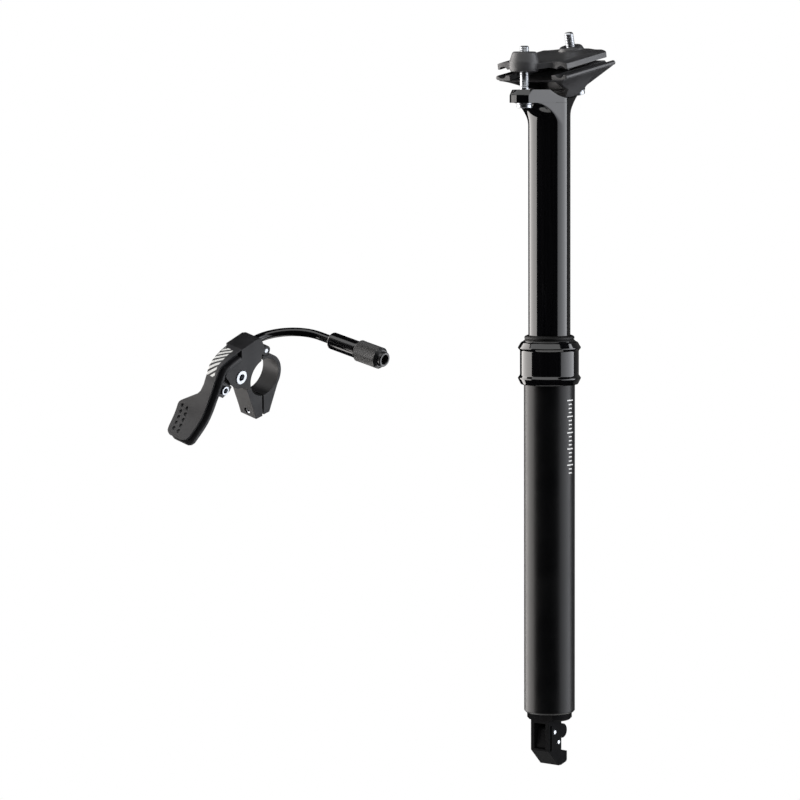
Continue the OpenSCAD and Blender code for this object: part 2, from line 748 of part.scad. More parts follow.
// The lever rocks on its pin: its nose lifts the valve pin, its foot holds the cable's end
module actuator_lever() {
    lever_w = slot_w - 2 * free_gap - 0.4;
    nose = [0, valve_foot - free_gap - nose_r];
    foot_r = cable_barrel_d / 2 + 0.6;
    color("#4a4b4e") difference() {
        union() {
            bar_y(act_pivot, 2 * lever_hub_r, -lever_w / 2, lever_w / 2);
            bar_y(nose, 2 * nose_r, -lever_w / 2, lever_w / 2);
            bar_y(barrel_at, 2 * foot_r, -lever_w / 2, lever_w / 2);
            across(-lever_w / 2, lever_w / 2) polygon([
                nose + [-nose_r + 0.2, -0.2], nose + [nose_r, 0.6], act_pivot + [0, lever_hub_r - 0.2],
                act_pivot + [0, -lever_hub_r + 0.2]
            ]);
            across(-lever_w / 2, lever_w / 2) polygon([
                act_pivot + [-0.4, 0.3], act_pivot + [2.8, 0.3], barrel_at + [foot_r - 0.2, 0], barrel_at - [0.6, 0]
            ]);
        }
        bar_y(act_pivot, act_pin_d + 2 * run_fit, -bracket_w, bracket_w);
        bar_y(barrel_at, cable_barrel_d, -bracket_w, bracket_w);
    }
}

module cable_end_barrel() {
    barrel_w = slot_w - 2 * free_gap - 0.8;
    color("#d0d2d4") difference() {
        bar_y(barrel_at, cable_barrel_d, -barrel_w / 2, barrel_w / 2);
        translate([barrel_at[0], 0, barrel_at[1]]) rotate([0, 90, 0])
            cylinder(d = cable_d, h = 2 * cable_barrel_d, center = true);
    }
}

module valve_pin() {
    color("#c8ccd0") translate([0, 0, valve_foot]) cylinder(d = valve_d, h = valve_bore_top - 3 - valve_foot);
}

// Side view of the fixed half of the remote clamp with its block, its ear and the cheek round the pivot
module remote_side() {
    half_x = slit_x + ear_slit / 2;
    // Block over the handlebar
    polygon([
        [block_x[0], block_top - 1], [block_x[0] + 3, block_top], [block_x[1], block_top - 1.8],
        [block_x[1], pivot_at[1]], [half_x, 0], [half_x, hinge_at[1] - hinge_r], hinge_at + [hinge_r / 2, hinge_r]
    ]);
    // Half ring and ear
    intersection() {
        circle(r = bar_r + 3);
        translate([half_x, -ear_reach]) square(2 * ear_reach);
    }
    polygon([[half_x, -ear_reach], [half_x + 5, -ear_reach], [half_x + 6.8, -ear_reach + 6],
             [bar_r + 2.9, -3], [half_x, 0]]);
    remote_fin();
}

// Round cheek between the pivot and the back of the lever
module remote_fin() {
    tip = pivot_at + [13, 6.6];
    intersection() {
        translate(back_at) circle(r = fin_r);
        polygon([[block_x[0] + 1, block_top - 3], [block_x[1] + 1, block_top - 3], tip, pivot_at + [7.4, -2.4],
                 pivot_at + [2, -6], [bar_r, -3], [block_x[0] + 1, 0]]);
    }
    translate(pivot_at) circle(r = hub_r - 0.4);
}

module remote_body() {
    color("#29292b") on_bar() difference() {
        union() {
            across(-clamp_w, 0) remote_side();
            for (y = [-hinge_w, -clamp_w]) bar_y(hinge_at, 2 * hinge_r, y, y + hinge_w);
        }
        // Slot for the lever's hub
        across(-clamp_w + plate_t, -plate_t) {
            translate(pivot_at) circle(r = hub_r + free_gap);
            translate([block_x[1], -ear_reach]) square(3 * ear_reach);
        }
        // Room for the cap's middle knuckle, and the bar's bore again past the outer knuckles
        bar_y(hinge_at, 2 * (hinge_r + free_gap), -2 * hinge_w, -hinge_w);
        bar_y([0, 0], bar_d, -clamp_w - 1, 1);
        bar_y(hinge_at, hinge_pin_d, -clamp_w - 1, 1);
        bar_y(pivot_at, pivot_bolt_d, -clamp_w - 1, 1);
        bar_y(pivot_at, pivot_head_d + 2 * run_fit, -pivot_seat, 1);
        translate([0, pinch_y, pinch_z]) rotate([0, 90, 0]) cylinder(d = pinch_bolt_d, h = bar_d);
        // Seat of the noodle and the way for the cable
        translate([block_x[0] - bar_d, noodle_at[1], noodle_at[2]]) rotate([0, 90, 0]) {
            cylinder(d = noodle_d, h = bar_d + noodle_seat);
            cylinder(d = cable_d, h = 2 * bar_d);
        }
    }
}

module remote_clamp_cap() {
    half_x = slit_x - ear_slit / 2;
    ear_x = -3.4;
    color("#29292b") on_bar() difference() {
        union() {
            across(-clamp_w, 0) difference() {
                union() {
                    circle(r = ring_r);
                    polygon([[-ring_r * 0.98, -2.6], [ear_x, -ear_reach + 0.5], [half_x, -ear_reach + 0.5], [half_x, 0]]);
                }
                translate([half_x, -2 * ear_reach]) square(4 * ear_reach);
            }
            bar_y(hinge_at, 2 * hinge_r, -2 * hinge_w + free_gap / 2, -hinge_w - free_gap / 2);
        }
        bar_y([0, 0], bar_d, -clamp_w - 1, 1);
        for (y = [-hinge_w, -clamp_w])
            bar_y(hinge_at, 2 * (hinge_r + free_gap), y - free_gap / 2, y + hinge_w + free_gap / 2);
        bar_y(hinge_at, hinge_pin_d, -clamp_w - 1, 1);
        translate([-bar_d, pinch_y, pinch_z]) rotate([0, 90, 0]) {
            cylinder(d = pinch_bolt_d + 2 * bolt_fit, h = 2 * bar_d);
            cylinder(d = pinch_bolt_d + 4, h = bar_d + ear_x + 0.4);
        }
    }
}

module remote_hinge_pin() {
    color("silver") on_bar() bar_y(hinge_at, hinge_pin_d, -clamp_w, 0);
}

module remote_pinch_bolt() {
    head_at = -3;
    head_h = 3;
    shank_l = 10.2;
    color("silver") on_bar() translate([head_at, -clamp_w / 2, pinch_z]) rotate([0, 90, 0]) difference() {
        union() {
            translate([0, 0, -head_h]) cylinder(d = pinch_bolt_d + 3, h = head_h);
            cylinder(d = pinch_bolt_d, h = shank_l);
        }
        translate([0, 0, -head_h - eps]) cylinder(d = 3.4, h = 2, $fn = 6);
        translate([0, 0, shank_l - 1.6]) cylinder(d = 2.3, h = 2, $fn = 6);
    }
}

module remote_pivot_bolt() {
    head_rise = 0.5;
    color("silver") on_bar() difference() {
        union() {
            bar_y(pivot_at, pivot_head_d, -pivot_seat, head_rise);
            bar_y(pivot_at, pivot_bolt_d, -clamp_w, -pivot_seat + eps);
        }
        across(-pivot_seat, head_rise + eps) translate(pivot_at) circle(d = 4.4, $fn = 6);
    }
}

// One layer of the lever in side view, between two depths under its thumb face
module lever_layer(depth_from, depth_to) {
    reach = 3 * lever_back_r;
    translate(back_at) intersection() {
        difference() {
            circle(r = lever_back_r - depth_from);
            circle(r = lever_back_r - depth_to);
        }
        translate([-1, 0]) square(reach);
    }
    lever_tail(depth_from, depth_to, paddle_l);
}

// The lower stretch of a layer: the bend and the flat of the paddle
module lever_tail(depth_from, depth_to, flat_l) {
    reach = 3 * lever_back_r;
    translate(bend_at) intersection() {
        difference() {
            circle(r = lever_bend_r + depth_to);
            circle(r = lever_bend_r + depth_from);
        }
        polygon([for (t = [0 : 0.5 : 1]) reach * [-cos(t * bend_turn), -sin(t * bend_turn)], [0, 0]]);
    }
    translate(paddle_at) rotate(-paddle_slope) translate([0, -depth_to]) square([flat_l, depth_to - depth_from]);
}

// The lever's width along the handlebar at each height, as an outline carried along X
module lever_plan(front_step, rear_step) {
    top = block_top + 1;
    back_z = back_at[1] + lever_back_r * 0.54;
    foot = paddle_end_z - 6;
    rotate([90, 0, 90]) linear_extrude(height = 6 * lever_back_r) polygon([
        [front_step, top], [-1 + front_step, back_z], [-2 + front_step, back_at[1]],
        [-3.5 + front_step, paddle_at[1]], [-4 + front_step, paddle_end_z + tip_cut],
        [-4 - tip_cut + front_step, paddle_end_z], [-4 - tip_cut + front_step, foot],
        [-clamp_w - paddle_tip + tip_cut + rear_step, foot],
        [-clamp_w - paddle_tip + tip_cut + rear_step, paddle_end_z],
        [-clamp_w - paddle_tip - tip_cut / 2 + rear_step, paddle_end_z + tip_cut],
        [-clamp_w - paddle_flare + rear_step, paddle_at[1] - 1],
        [-clamp_w - paddle_flare + 2 + rear_step, paddle_at[1] + 1.5], [-clamp_w + rear_step, back_at[1] - 3.5],
        [-clamp_w + 2.5 + rear_step, back_at[1] + 3], [-clamp_w + 2.5 + rear_step, back_z],
        [-clamp_w + rear_step, top]
    ]);
}

module thumb_lever() {
    wide = [-3 * clamp_w, clamp_w];
    color("#242426") on_bar() difference() {
        union() {
            intersection() {
                across(wide[0], wide[1]) lever_layer(0, lever_t);
                lever_plan(0, 0);
            }
            // Flange under the bend and the paddle, a little proud of the upper layer at the near side
            intersection() {
                across(wide[0], wide[1]) lever_tail(lever_t, lever_t + flange_t, paddle_l - 2);
                lever_plan(1.2, 1.5);
            }
            // Web and hub inside the clamp's slot
            across(web_front - web_w, web_front) {
                translate(pivot_at) circle(r = hub_r);
                intersection() {
                    translate(back_at) circle(r = lever_back_r - lever_t + 0.4);
                    polygon([pivot_at, pivot_at + 3 * hub_r * [cos(48), sin(48)], pivot_at + 3 * hub_r * [1.2, 0],
                             clamp_screw_at + [4.6, -2], clamp_screw_at + [1, -4.6],
                             clamp_screw_at + [-4.4, -2.4]]);
                }
            }
        }
        bar_y(pivot_at, hub_bush_d, -clamp_w, 0);
        bar_y(clamp_screw_at, clamp_screw_d, -clamp_w, 0);
        paddle_dimples();
    }
}

// Two rows of blind dimples in the paddle's thumb face
module paddle_dimples() {
    dimple_d = 2;
    dimple_depth = 0.7;
    rows = 5;
    pitch = 2.9;
    first = 2.2;
    row_y = [-clamp_w - 7, -clamp_w - 3.4];
    for (i = [0 : rows - 1], k = [0, 1])
        translate([paddle_at[0], row_y[k] + 0.75 * i, paddle_at[1]]) rotate([0, paddle_slope, 0])
            translate([first + pitch * i + 0.4 * k, 0, -dimple_depth]) cylinder(d = dimple_d, h = 2, $fn = 16);
}

module lever_bushing() {
    color("#6b5a2e") on_bar() difference() {
        bar_y(pivot_at, hub_bush_d, web_front - web_w, web_front);
        bar_y(pivot_at, pivot_bolt_d + 2 * run_fit, -clamp_w, 0);
    }
}

module cable_clamp_screw() {
    side = 1.4;
    color("silver") on_bar() difference() {
        bar_y(clamp_screw_at, clamp_screw_d, -clamp_w + side, -side);
        across(-side - 1.6, 0) translate(clamp_screw_at) circle(d = 3.4, $fn = 6);
        translate([clamp_screw_at[0], -clamp_w / 2, clamp_screw_at[1]])
            cylinder(d = cable_d, h = 2 * clamp_screw_d, center = true);
    }
}

// The noodle leaves the block to the rear and turns along the handlebar
module noodle_path(d) {
    translate([-noodle_lead, 0, 0]) {
        rotate([0, 90, 0]) cylinder(d = d, h = noodle_lead + noodle_seat);
        translate([0, noodle_r, 0]) {
            rotate(180) rotate_extrude(angle = 90) translate([noodle_r, 0]) circle(d = d);
            translate([-noodle_r, 0, 0]) rotate([-90, 0, 0]) cylinder(d = d, h = noodle_run);
        }
    }
}

module cable_noodle() {
    color("#1a1a1c") on_noodle() difference() {
        noodle_path(noodle_d);
        noodle_path(noodle_bore_d);
    }
}

module noodle_ferrule() {
    bevel = 0.8;
    color("#222224") on_ferrule() difference() {
        union() {
            cylinder(d1 = ferrule_d - 2 * bevel, d2 = ferrule_d, h = bevel);
            translate([0, 0, bevel]) cylinder(d = ferrule_d, h = ferrule_l - bevel);
            translate([0, 0, ferrule_l - eps]) cylinder(d = spigot_d, h = spigot_l);
        }
        translate([0, 0, -eps]) cylinder(d = noodle_bore_d, h = ferrule_l + spigot_l + 1);
    }
}

module barrel_adjuster() {
    bevel = 1.2;
    rib_cut = 1;
    color("#1c1c1e") on_ferrule() translate([0, 0, ferrule_l + free_gap]) difference() {
        union() {
            cylinder(d1 = adjuster_d - 2 * bevel, d2 = adjuster_d, h = bevel);
            translate([0, 0, bevel]) cylinder(d = adjuster_d, h = adjuster_l - 2 * bevel);
            translate([0, 0, adjuster_l - bevel]) cylinder(d1 = adjuster_d, d2 = adjuster_d - 2 * bevel, h = bevel);
            translate([0, 0, adjuster_l - eps]) cylinder(d = nozzle_d, h = nozzle_l);
        }
        for (i = [0 : adjuster_ribs - 1]) rotate(i * 360 / adjuster_ribs)
            translate([adjuster_d / 2 + 0.1, 0, -1]) cylinder(d = rib_cut, h = adjuster_l + 1);
        translate([0, 0, -eps]) cylinder(d = spigot_d + 2 * run_fit, h = spigot_l + 0.5);
        translate([0, 0, -eps]) cylinder(d = cable_d, h = adjuster_l);
        translate([0, 0, spigot_l + 1.5]) cylinder(d = housing_bore_d, h = adjuster_l);
    }
}

outer_tube();
seal_collar();
wiper_seal();
upper_bushing();
bottom_plug();
piston_rod();
rod_piston();
piston_seal();
actuator_bracket();
actuator_pivot_pin();
actuator_cross_pin();
stanchion();
lower_bushing();
guide_keys();
gas_cartridge();
cartridge_gland();
cartridge_cap();
retaining_ring();
front_clamp_bolt();
rear_clamp_bolt();
clamp_bolt_washers();
lower_cradle();
upper_yoke();
actuator_lever();
cable_end_barrel();
valve_pin();
remote_body();
remote_clamp_cap();
remote_hinge_pin();
remote_pinch_bolt();
remote_pivot_bolt();
cable_noodle();
noodle_ferrule();
thumb_lever();
lever_bushing();
cable_clamp_screw();
barrel_adjuster();
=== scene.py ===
"""Dropper seatpost with its handlebar remote: the looks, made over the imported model.

Shapes are written in millimetres in the part's own frame: Z runs up along the post, X points to
the front of the bicycle and Y to its left. The remote's pieces are written in the remote's frame,
where Y is the handlebar's axis, X the lever's side and Z the hinge's side.
"""
import json
import math

import bmesh
import bpy
import numpy as np
from mathutils import Matrix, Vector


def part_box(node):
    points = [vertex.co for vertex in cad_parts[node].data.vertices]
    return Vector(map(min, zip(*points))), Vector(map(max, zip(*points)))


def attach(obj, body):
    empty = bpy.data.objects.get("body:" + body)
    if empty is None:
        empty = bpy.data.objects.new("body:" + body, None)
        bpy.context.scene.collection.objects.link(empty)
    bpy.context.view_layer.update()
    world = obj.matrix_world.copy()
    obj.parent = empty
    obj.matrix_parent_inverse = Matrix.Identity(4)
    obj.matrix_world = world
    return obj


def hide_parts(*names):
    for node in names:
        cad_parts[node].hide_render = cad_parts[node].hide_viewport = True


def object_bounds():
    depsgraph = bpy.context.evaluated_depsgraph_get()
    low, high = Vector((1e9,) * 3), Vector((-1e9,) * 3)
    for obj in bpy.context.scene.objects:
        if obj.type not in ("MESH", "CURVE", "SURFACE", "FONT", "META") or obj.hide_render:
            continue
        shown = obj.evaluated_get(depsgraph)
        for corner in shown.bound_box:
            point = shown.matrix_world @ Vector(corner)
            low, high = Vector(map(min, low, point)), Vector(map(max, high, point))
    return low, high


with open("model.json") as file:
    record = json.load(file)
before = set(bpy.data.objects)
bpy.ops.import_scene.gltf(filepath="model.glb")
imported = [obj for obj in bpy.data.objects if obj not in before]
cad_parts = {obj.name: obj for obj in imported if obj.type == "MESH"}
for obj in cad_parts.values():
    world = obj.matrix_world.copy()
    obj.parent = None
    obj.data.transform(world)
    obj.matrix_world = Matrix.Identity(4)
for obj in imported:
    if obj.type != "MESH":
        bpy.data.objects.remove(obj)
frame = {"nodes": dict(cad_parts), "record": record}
cad_low, cad_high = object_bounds()
nodes = frame["nodes"]
MM = 0.001


# Measures of the post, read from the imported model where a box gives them
def box_mm(node):
    """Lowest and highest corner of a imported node, in millimetres."""
    low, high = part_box(node)
    return np.array(low) / MM, np.array(high) / MM


TUBE_LOW, TUBE_HIGH = box_mm("outer_tube")
COLLAR_HIGH = box_mm("seal_collar")[1]
SEAL_LOW, SEAL_HIGH = box_mm("wiper_seal")
POST_LOW, POST_HIGH = box_mm("stanchion")
TUBE_R = TUBE_HIGH[0]
TUBE_WALL = 1.4
TUBE_NECK_R = 15.3
TUBE_BEVEL = 1.0
COLLAR_R = COLLAR_HIGH[0]
COLLAR_H = COLLAR_HIGH[2]
POST_R = 13.0
POST_BORE_R = 11.5
NECK_Z = POST_HIGH[2] - 30.0
SEAT_X = -4.0
SEAT_Z = NECK_Z + 47.0
SEAT_R = 30.3
CLAMP_PITCH = 10.4
RAIL_Z = NECK_Z + 36.5
RAIL_Y = 22.0
RAIL_R = 3.5
FRONT_BOLT_X = 25.2
REAR_BOLT_X = -27.5
REAR_BOLT_LEAN = 14.0
BOLT_R = 2.85
BOLT_SLOT = 3.4


# Camera: a long lens in front of the post and to its left, a little above its middle
PICTURE_PX = 800
LENS_PX = 3300
SENSOR_MM = 36.0
CAMERA_BEARING = math.degrees(math.atan2(0.6, 0.8))
CAMERA_DISTANCE = 2037.0
CAMERA_HEIGHT = 173.0
CAMERA_PITCH = 5.126
CAMERA_ROLL = -0.25
CAMERA_FAR_M = 50
POST_PX = 550.0


def place_camera():
    """Stands back from the post along a bearing, then turns until the post falls on its pixel column."""
    bearing = math.radians(CAMERA_BEARING)
    yaw = math.atan((POST_PX - PICTURE_PX / 2) / LENS_PX)
    pitch = math.radians(CAMERA_PITCH)
    roll = math.radians(CAMERA_ROLL)
    outward = np.array([math.cos(bearing), math.sin(bearing), 0])
    sideways = np.array([-math.sin(bearing), math.cos(bearing), 0])
    level = -outward * math.cos(yaw) - sideways * math.sin(yaw)
    forward = level * math.cos(pitch) - np.array([0, 0, math.sin(pitch)])
    right = np.cross(forward, [0, 0, 1])
    right = right / np.linalg.norm(right)
    up = np.cross(right, forward)
    turned_right = right * math.cos(roll) + up * math.sin(roll)
    turned_up = up * math.cos(roll) - right * math.sin(roll)
    data = bpy.data.cameras.new("camera")
    data.sensor_width = SENSOR_MM
    data.lens = LENS_PX / PICTURE_PX * SENSOR_MM
    data.clip_end = CAMERA_FAR_M
    camera = bpy.data.objects.new("camera", data)
    bpy.context.scene.collection.objects.link(camera)
    matrix = np.eye(4)
    matrix[:3, 0] = turned_right
    matrix[:3, 1] = turned_up
    matrix[:3, 2] = -forward
    matrix[:3, 3] = (outward * CAMERA_DISTANCE + np.array([0, 0, CAMERA_HEIGHT])) * MM
    camera.matrix_world = Matrix(matrix.tolist())
    bpy.context.scene.camera = camera


# Colour and node helpers
def linear(hex_code):
    """A colour written as sRGB hex, turned to linear light with full alpha."""
    srgb = np.array([int(hex_code[i:i + 2], 16) / 255 for i in (1, 3, 5)])
    light = np.where(srgb <= 0.04045, srgb / 12.92, ((srgb + 0.055) / 1.055) ** 2.4)
    return (*light, 1.0)


def add_node(tree, kind, inputs=None, **settings):
    """Adds one node. Settings are its properties. Each input is a value to set, or a socket or node to
    link, and a node gives its first output."""
    node = tree.nodes.new(kind)
    for key, value in settings.items():
        setattr(node, key, value)
    for key, value in (inputs or {}).items():
        source = value.outputs[0] if isinstance(value, bpy.types.Node) else value
        if isinstance(source, bpy.types.NodeSocket):
            tree.links.new(source, node.inputs[key])
        else:
            node.inputs[key].default_value = source
    return node


def new_material(name):
    """An empty node material with its output node."""
    material = bpy.data.materials.new(name)
    material.use_nodes = True
    material.node_tree.nodes.clear()
    return material, material.node_tree, add_node(material.node_tree, "ShaderNodeOutputMaterial")


# Finishes
MATHS = "ShaderNodeMath"
CLOUD_RANGE = (0.3, 0.7)
GRAIN_STRENGTH = 0.6
INK_WHITE = "#c4c4c2"


def finish(name, shades, roughness, metallic=0.0, cloud_mm=18.0, cloud_stretch=(1, 1, 1), rough_spread=0.05,
           grain_mm=0.5, grain_depth_mm=0.01, edge_mm=0.15, specular=0.5, ink=None):
    """A surface on Object coordinates: soft noise drifts between two close shades and stirs the roughness,
    and a fine grain raises a slight bump. The grain is coarser than the real one, so that it shows. Ink,
    where given, is a function that makes the mask of a white print."""
    material, tree, output = new_material(name)
    coordinates = add_node(tree, "ShaderNodeTexCoord")
    place = coordinates.outputs["Object"]
    stretched = add_node(tree, "ShaderNodeMapping", {"Vector": place, "Scale": cloud_stretch})
    cloud = add_node(tree, "ShaderNodeTexNoise",
                     {"Vector": stretched, "Scale": 1 / (cloud_mm * MM), "Detail": 4.0})
    grain = add_node(tree, "ShaderNodeTexNoise",
                     {"Vector": place, "Scale": 1 / (grain_mm * MM), "Detail": 2.0})
    shade = add_node(tree, "ShaderNodeValToRGB", {"Fac": cloud.outputs["Fac"]})
    for element, position, hex_code in zip(shade.color_ramp.elements, CLOUD_RANGE, shades):
        element.position = position
        element.color = linear(hex_code)
    gloss = add_node(tree, "ShaderNodeMapRange", {
        "Value": cloud.outputs["Fac"], "From Min": CLOUD_RANGE[0], "From Max": CLOUD_RANGE[1],
        "To Min": roughness - rough_spread, "To Max": roughness + rough_spread})
    edge = add_node(tree, "ShaderNodeBevel", {"Radius": edge_mm * MM}, samples=4)
    bump = add_node(tree, "ShaderNodeBump", {
        "Normal": edge.outputs["Normal"], "Height": grain.outputs["Fac"], "Strength": GRAIN_STRENGTH,
        "Distance": grain_depth_mm * MM})
    colour = shade.outputs["Color"]
    if ink is not None:
        print_over = {0: ink(tree, coordinates), 6: colour, 7: linear(INK_WHITE)}
        colour = add_node(tree, "ShaderNodeMix", print_over, data_type="RGBA").outputs[2]
    surface = add_node(tree, "ShaderNodeBsdfPrincipled", {
        "Base Color": colour, "Metallic": metallic, "Roughness": gloss.outputs["Result"],
        "Specular IOR Level": specular, "Normal": bump.outputs["Normal"]})
    tree.links.new(surface.outputs["BSDF"], output.inputs["Surface"])
    return material


# The plain height scale printed on the tube
SCALE_BEARING = 92.0
SCALE_TOP = -9.0
SCALE_LENGTH = 46.0
SCALE_PITCH = 2.5
SCALE_LONG_PITCH = 10.0
SCALE_STROKE = 0.7
SCALE_HALF = 1.6
SCALE_LONG_HALF = 3.0


def height_scale(tree, coordinates):
    """Ticks round the tube: ink where the depth, counted anew at each pitch, is less than a stroke, and
    where the bearing is near the scale's own. The strokes of the long pitch are wider."""
    parts = add_node(tree, "ShaderNodeSeparateXYZ", {"Vector": coordinates.outputs["Object"]}).outputs
    bearing = add_node(tree, MATHS, {0: parts["Y"], 1: parts["X"]}, operation="ARCTAN2")
    depth = add_node(tree, MATHS, {0: parts["Z"], 1: -1 / MM, 2: SCALE_TOP}, operation="MULTIPLY_ADD")
    rows = []
    for pitch, half in ((SCALE_PITCH, SCALE_HALF), (SCALE_LONG_PITCH, SCALE_LONG_HALF)):
        step = add_node(tree, MATHS, {0: depth, 1: pitch}, operation="FLOORED_MODULO")
        stroke = add_node(tree, MATHS, {0: step, 1: SCALE_STROKE}, operation="LESS_THAN")
        near = {0: bearing, 1: math.radians(SCALE_BEARING), 2: half / TUBE_R}
        width = add_node(tree, MATHS, near, operation="COMPARE")
        rows.append(add_node(tree, MATHS, {0: stroke, 1: width}, operation="MULTIPLY"))
    ticks = add_node(tree, MATHS, {0: rows[0], 1: rows[1]}, operation="MAXIMUM")
    printed = {0: depth, 1: SCALE_LENGTH / 2, 2: SCALE_LENGTH / 2 + SCALE_STROKE}
    length = add_node(tree, MATHS, printed, operation="COMPARE")
    return add_node(tree, MATHS, {0: ticks, 1: length}, operation="MULTIPLY")


# The plain hatch printed on the lever's back, on the lever's own map of arc length and width
MAP_MM = 100.0
OFF_PRINT = 50.0
HATCH_FROM = 3.0
HATCH_TO = 23.0
HATCH_PITCH = 3.4
HATCH_BAR = 0.55 * HATCH_PITCH
HATCH_SLANT = 0.9
HATCH_MIDDLE = -6.4
HATCH_HALF = 3.0


def lever_hatch(tree, coordinates):
    """Slanted bars: ink where (length + slant x width), counted anew at each pitch, is less than a bar,
    inside a box on the lever's map."""
    lever_map = {"Vector": coordinates.outputs["UV"], "Scale": [MAP_MM] * 3}
    scaled = add_node(tree, "ShaderNodeMapping", lever_map)
    parts = add_node(tree, "ShaderNodeSeparateXYZ", {"Vector": scaled}).outputs
    slant = {0: parts["Y"], 1: HATCH_SLANT, 2: parts["X"]}
    slanted = add_node(tree, MATHS, slant, operation="MULTIPLY_ADD")
    step = add_node(tree, MATHS, {0: slanted, 1: HATCH_PITCH}, operation="FLOORED_MODULO")
    ink = add_node(tree, MATHS, {0: step, 1: HATCH_BAR}, operation="LESS_THAN")
    length = {0: parts["X"], 1: (HATCH_FROM + HATCH_TO) / 2, 2: (HATCH_TO - HATCH_FROM) / 2}
    width = {0: parts["Y"], 1: HATCH_MIDDLE, 2: HATCH_HALF}
    for side in (length, width):
        inside = add_node(tree, MATHS, side, operation="COMPARE")
        ink = add_node(tree, MATHS, {0: ink, 1: inside}, operation="MULTIPLY")
    return ink


def make_finishes():
    """One material for each of the record's slots, two with a plain print and one for a knurl."""
    satin = dict(shades=("#030304", "#060607"), roughness=0.34, rough_spread=0.03, grain_mm=0.35,
                 grain_depth_mm=0.006, specular=0.22)
    looks = {
        # Hard-anodised drawn tube, polished and sealed: near black, mirror-like, with faint draw lines
        "gloss_black_anodised": dict(
            shades=("#030304", "#070708"), roughness=0.07, cloud_mm=1.2, cloud_stretch=(1, 1, 0.02),
            rough_spread=0.02, grain_mm=1.5, grain_depth_mm=0.001),
        # Blasted and anodised tube: black with a soft wide sheen
        "satin_black_anodised": satin,
        # Forged aluminium, bead blasted, then anodised: dark grey-black with a fine pebbled skin
        "forged_black": dict(
            shades=("#28282a", "#303031"), roughness=0.44, cloud_mm=9.0, grain_mm=0.45, edge_mm=0.3),
        # Milled aluminium with a matt dark grey anodise: dark, with little sheen
        "machined_black": dict(
            shades=("#161617", "#1c1c1e"), roughness=0.4, cloud_mm=8.0, grain_mm=0.4, grain_depth_mm=0.008,
            specular=0.18),
        # Pressure-cast alloy, tumbled and blackened: dull, slightly uneven
        "cast_grey": dict(
            shades=("#0b0b0c", "#121213"), roughness=0.45, cloud_mm=5.0, grain_mm=0.6, grain_depth_mm=0.015,
            edge_mm=0.3, specular=0.01),
        # Bright zinc plate on steel: pale silver with fine turning marks
        "zinc_steel": dict(
            shades=("#8f9296", "#aeb1b5"), roughness=0.3, metallic=1.0, cloud_mm=2.0, rough_spread=0.06,
            grain_mm=0.3, grain_depth_mm=0.006),
        # Ground and hard-chromed rod: bright and almost mirror-like
        "hard_chrome_steel": dict(
            shades=("#bdc0c4", "#d5d7da"), roughness=0.1, metallic=1.0, cloud_mm=6.0, rough_spread=0.03,
            grain_depth_mm=0.002),
        # Steel tube in gloss black enamel: deep black with a clear reflection
        "black_steel_tube": dict(
            shades=("#050506", "#0a0a0b"), roughness=0.12, rough_spread=0.03, grain_mm=2.0,
            grain_depth_mm=0.001),
        # Moulded nitrile rubber: dull black with a bloom
        "seal_rubber": dict(
            shades=("#060606", "#0c0c0c"), roughness=0.55, cloud_mm=6.0, grain_mm=0.4, specular=0.2),
        # Filled bearing polymer: warm dark grey, flecked
        "bearing_polymer": dict(
            shades=("#2f2f28", "#44443a"), roughness=0.5, cloud_mm=0.8, grain_mm=0.4),
        # Machined brass: yellow metal with a soft shine
        "brass": dict(
            shades=("#a98339", "#c49b4b"), roughness=0.28, metallic=1.0, cloud_mm=4.0, grain_mm=0.3),
        # Bare turned aluminium: pale grey metal with rings from the lathe
        "bare_aluminium": dict(
            shades=("#a6a9ad", "#bfc2c5"), roughness=0.33, metallic=1.0, cloud_mm=3.0,
            cloud_stretch=(1, 1, 6), grain_mm=0.3),
        # The tube's satin black with a white printed height scale
        "printed_tube": dict(satin, ink=height_scale),
        # The lever's dark grey anodise with white printed bars
        "printed_lever": dict(
            shades=("#1c1c1e", "#232325"), roughness=0.4, cloud_mm=8.0, grain_mm=0.4, grain_depth_mm=0.004,
            specular=0.3, ink=lever_hatch),
        # The adjuster's black anodise: darker and glossier than the lever's, the same all over the knurl
        "knurled_black": dict(
            shades=("#0c0c0d", "#141415"), roughness=0.3, cloud_mm=3.0, grain_mm=0.4, grain_depth_mm=0.002),
    }
    return {name: finish(name, **look) for name, look in looks.items()}


# Meshes from whole arrays of points
SHARP_DEG = 32.0
MERGE_M = 1e-6


def quads(rows, columns, wrap_rows, wrap_columns):
    """Corner numbers of the faces of a grid of points, closed round on itself where it wraps."""
    row = np.arange(rows if wrap_rows else rows - 1)[:, None]
    column = np.arange(columns if wrap_columns else columns - 1)[None, :]
    next_row = (row + 1) % rows
    next_column = (column + 1) % columns
    corners = [row * columns + column, row * columns + next_column,
               next_row * columns + next_column, next_row * columns + column]
    return np.stack([np.broadcast_to(c, (row.size, column.size)) for c in corners], -1).reshape(-1, 4)


def grid(points, wrap_rows=False, wrap_columns=True, uv=None):
    """A shell: the grid's points in millimetres, its faces, and its map if it has one."""
    points = np.asarray(points, float)
    rows, columns = points.shape[:2]
    return points.reshape(-1, 3), quads(rows, columns, wrap_rows, wrap_columns), uv


def moved(shell, turn=None, to=(0, 0, 0)):
    """A shell turned by a matrix, then set down at a place."""
    points, faces, uv = shell
    return points @ (np.eye(3) if turn is None else turn).T + np.asarray(to, float), faces, uv


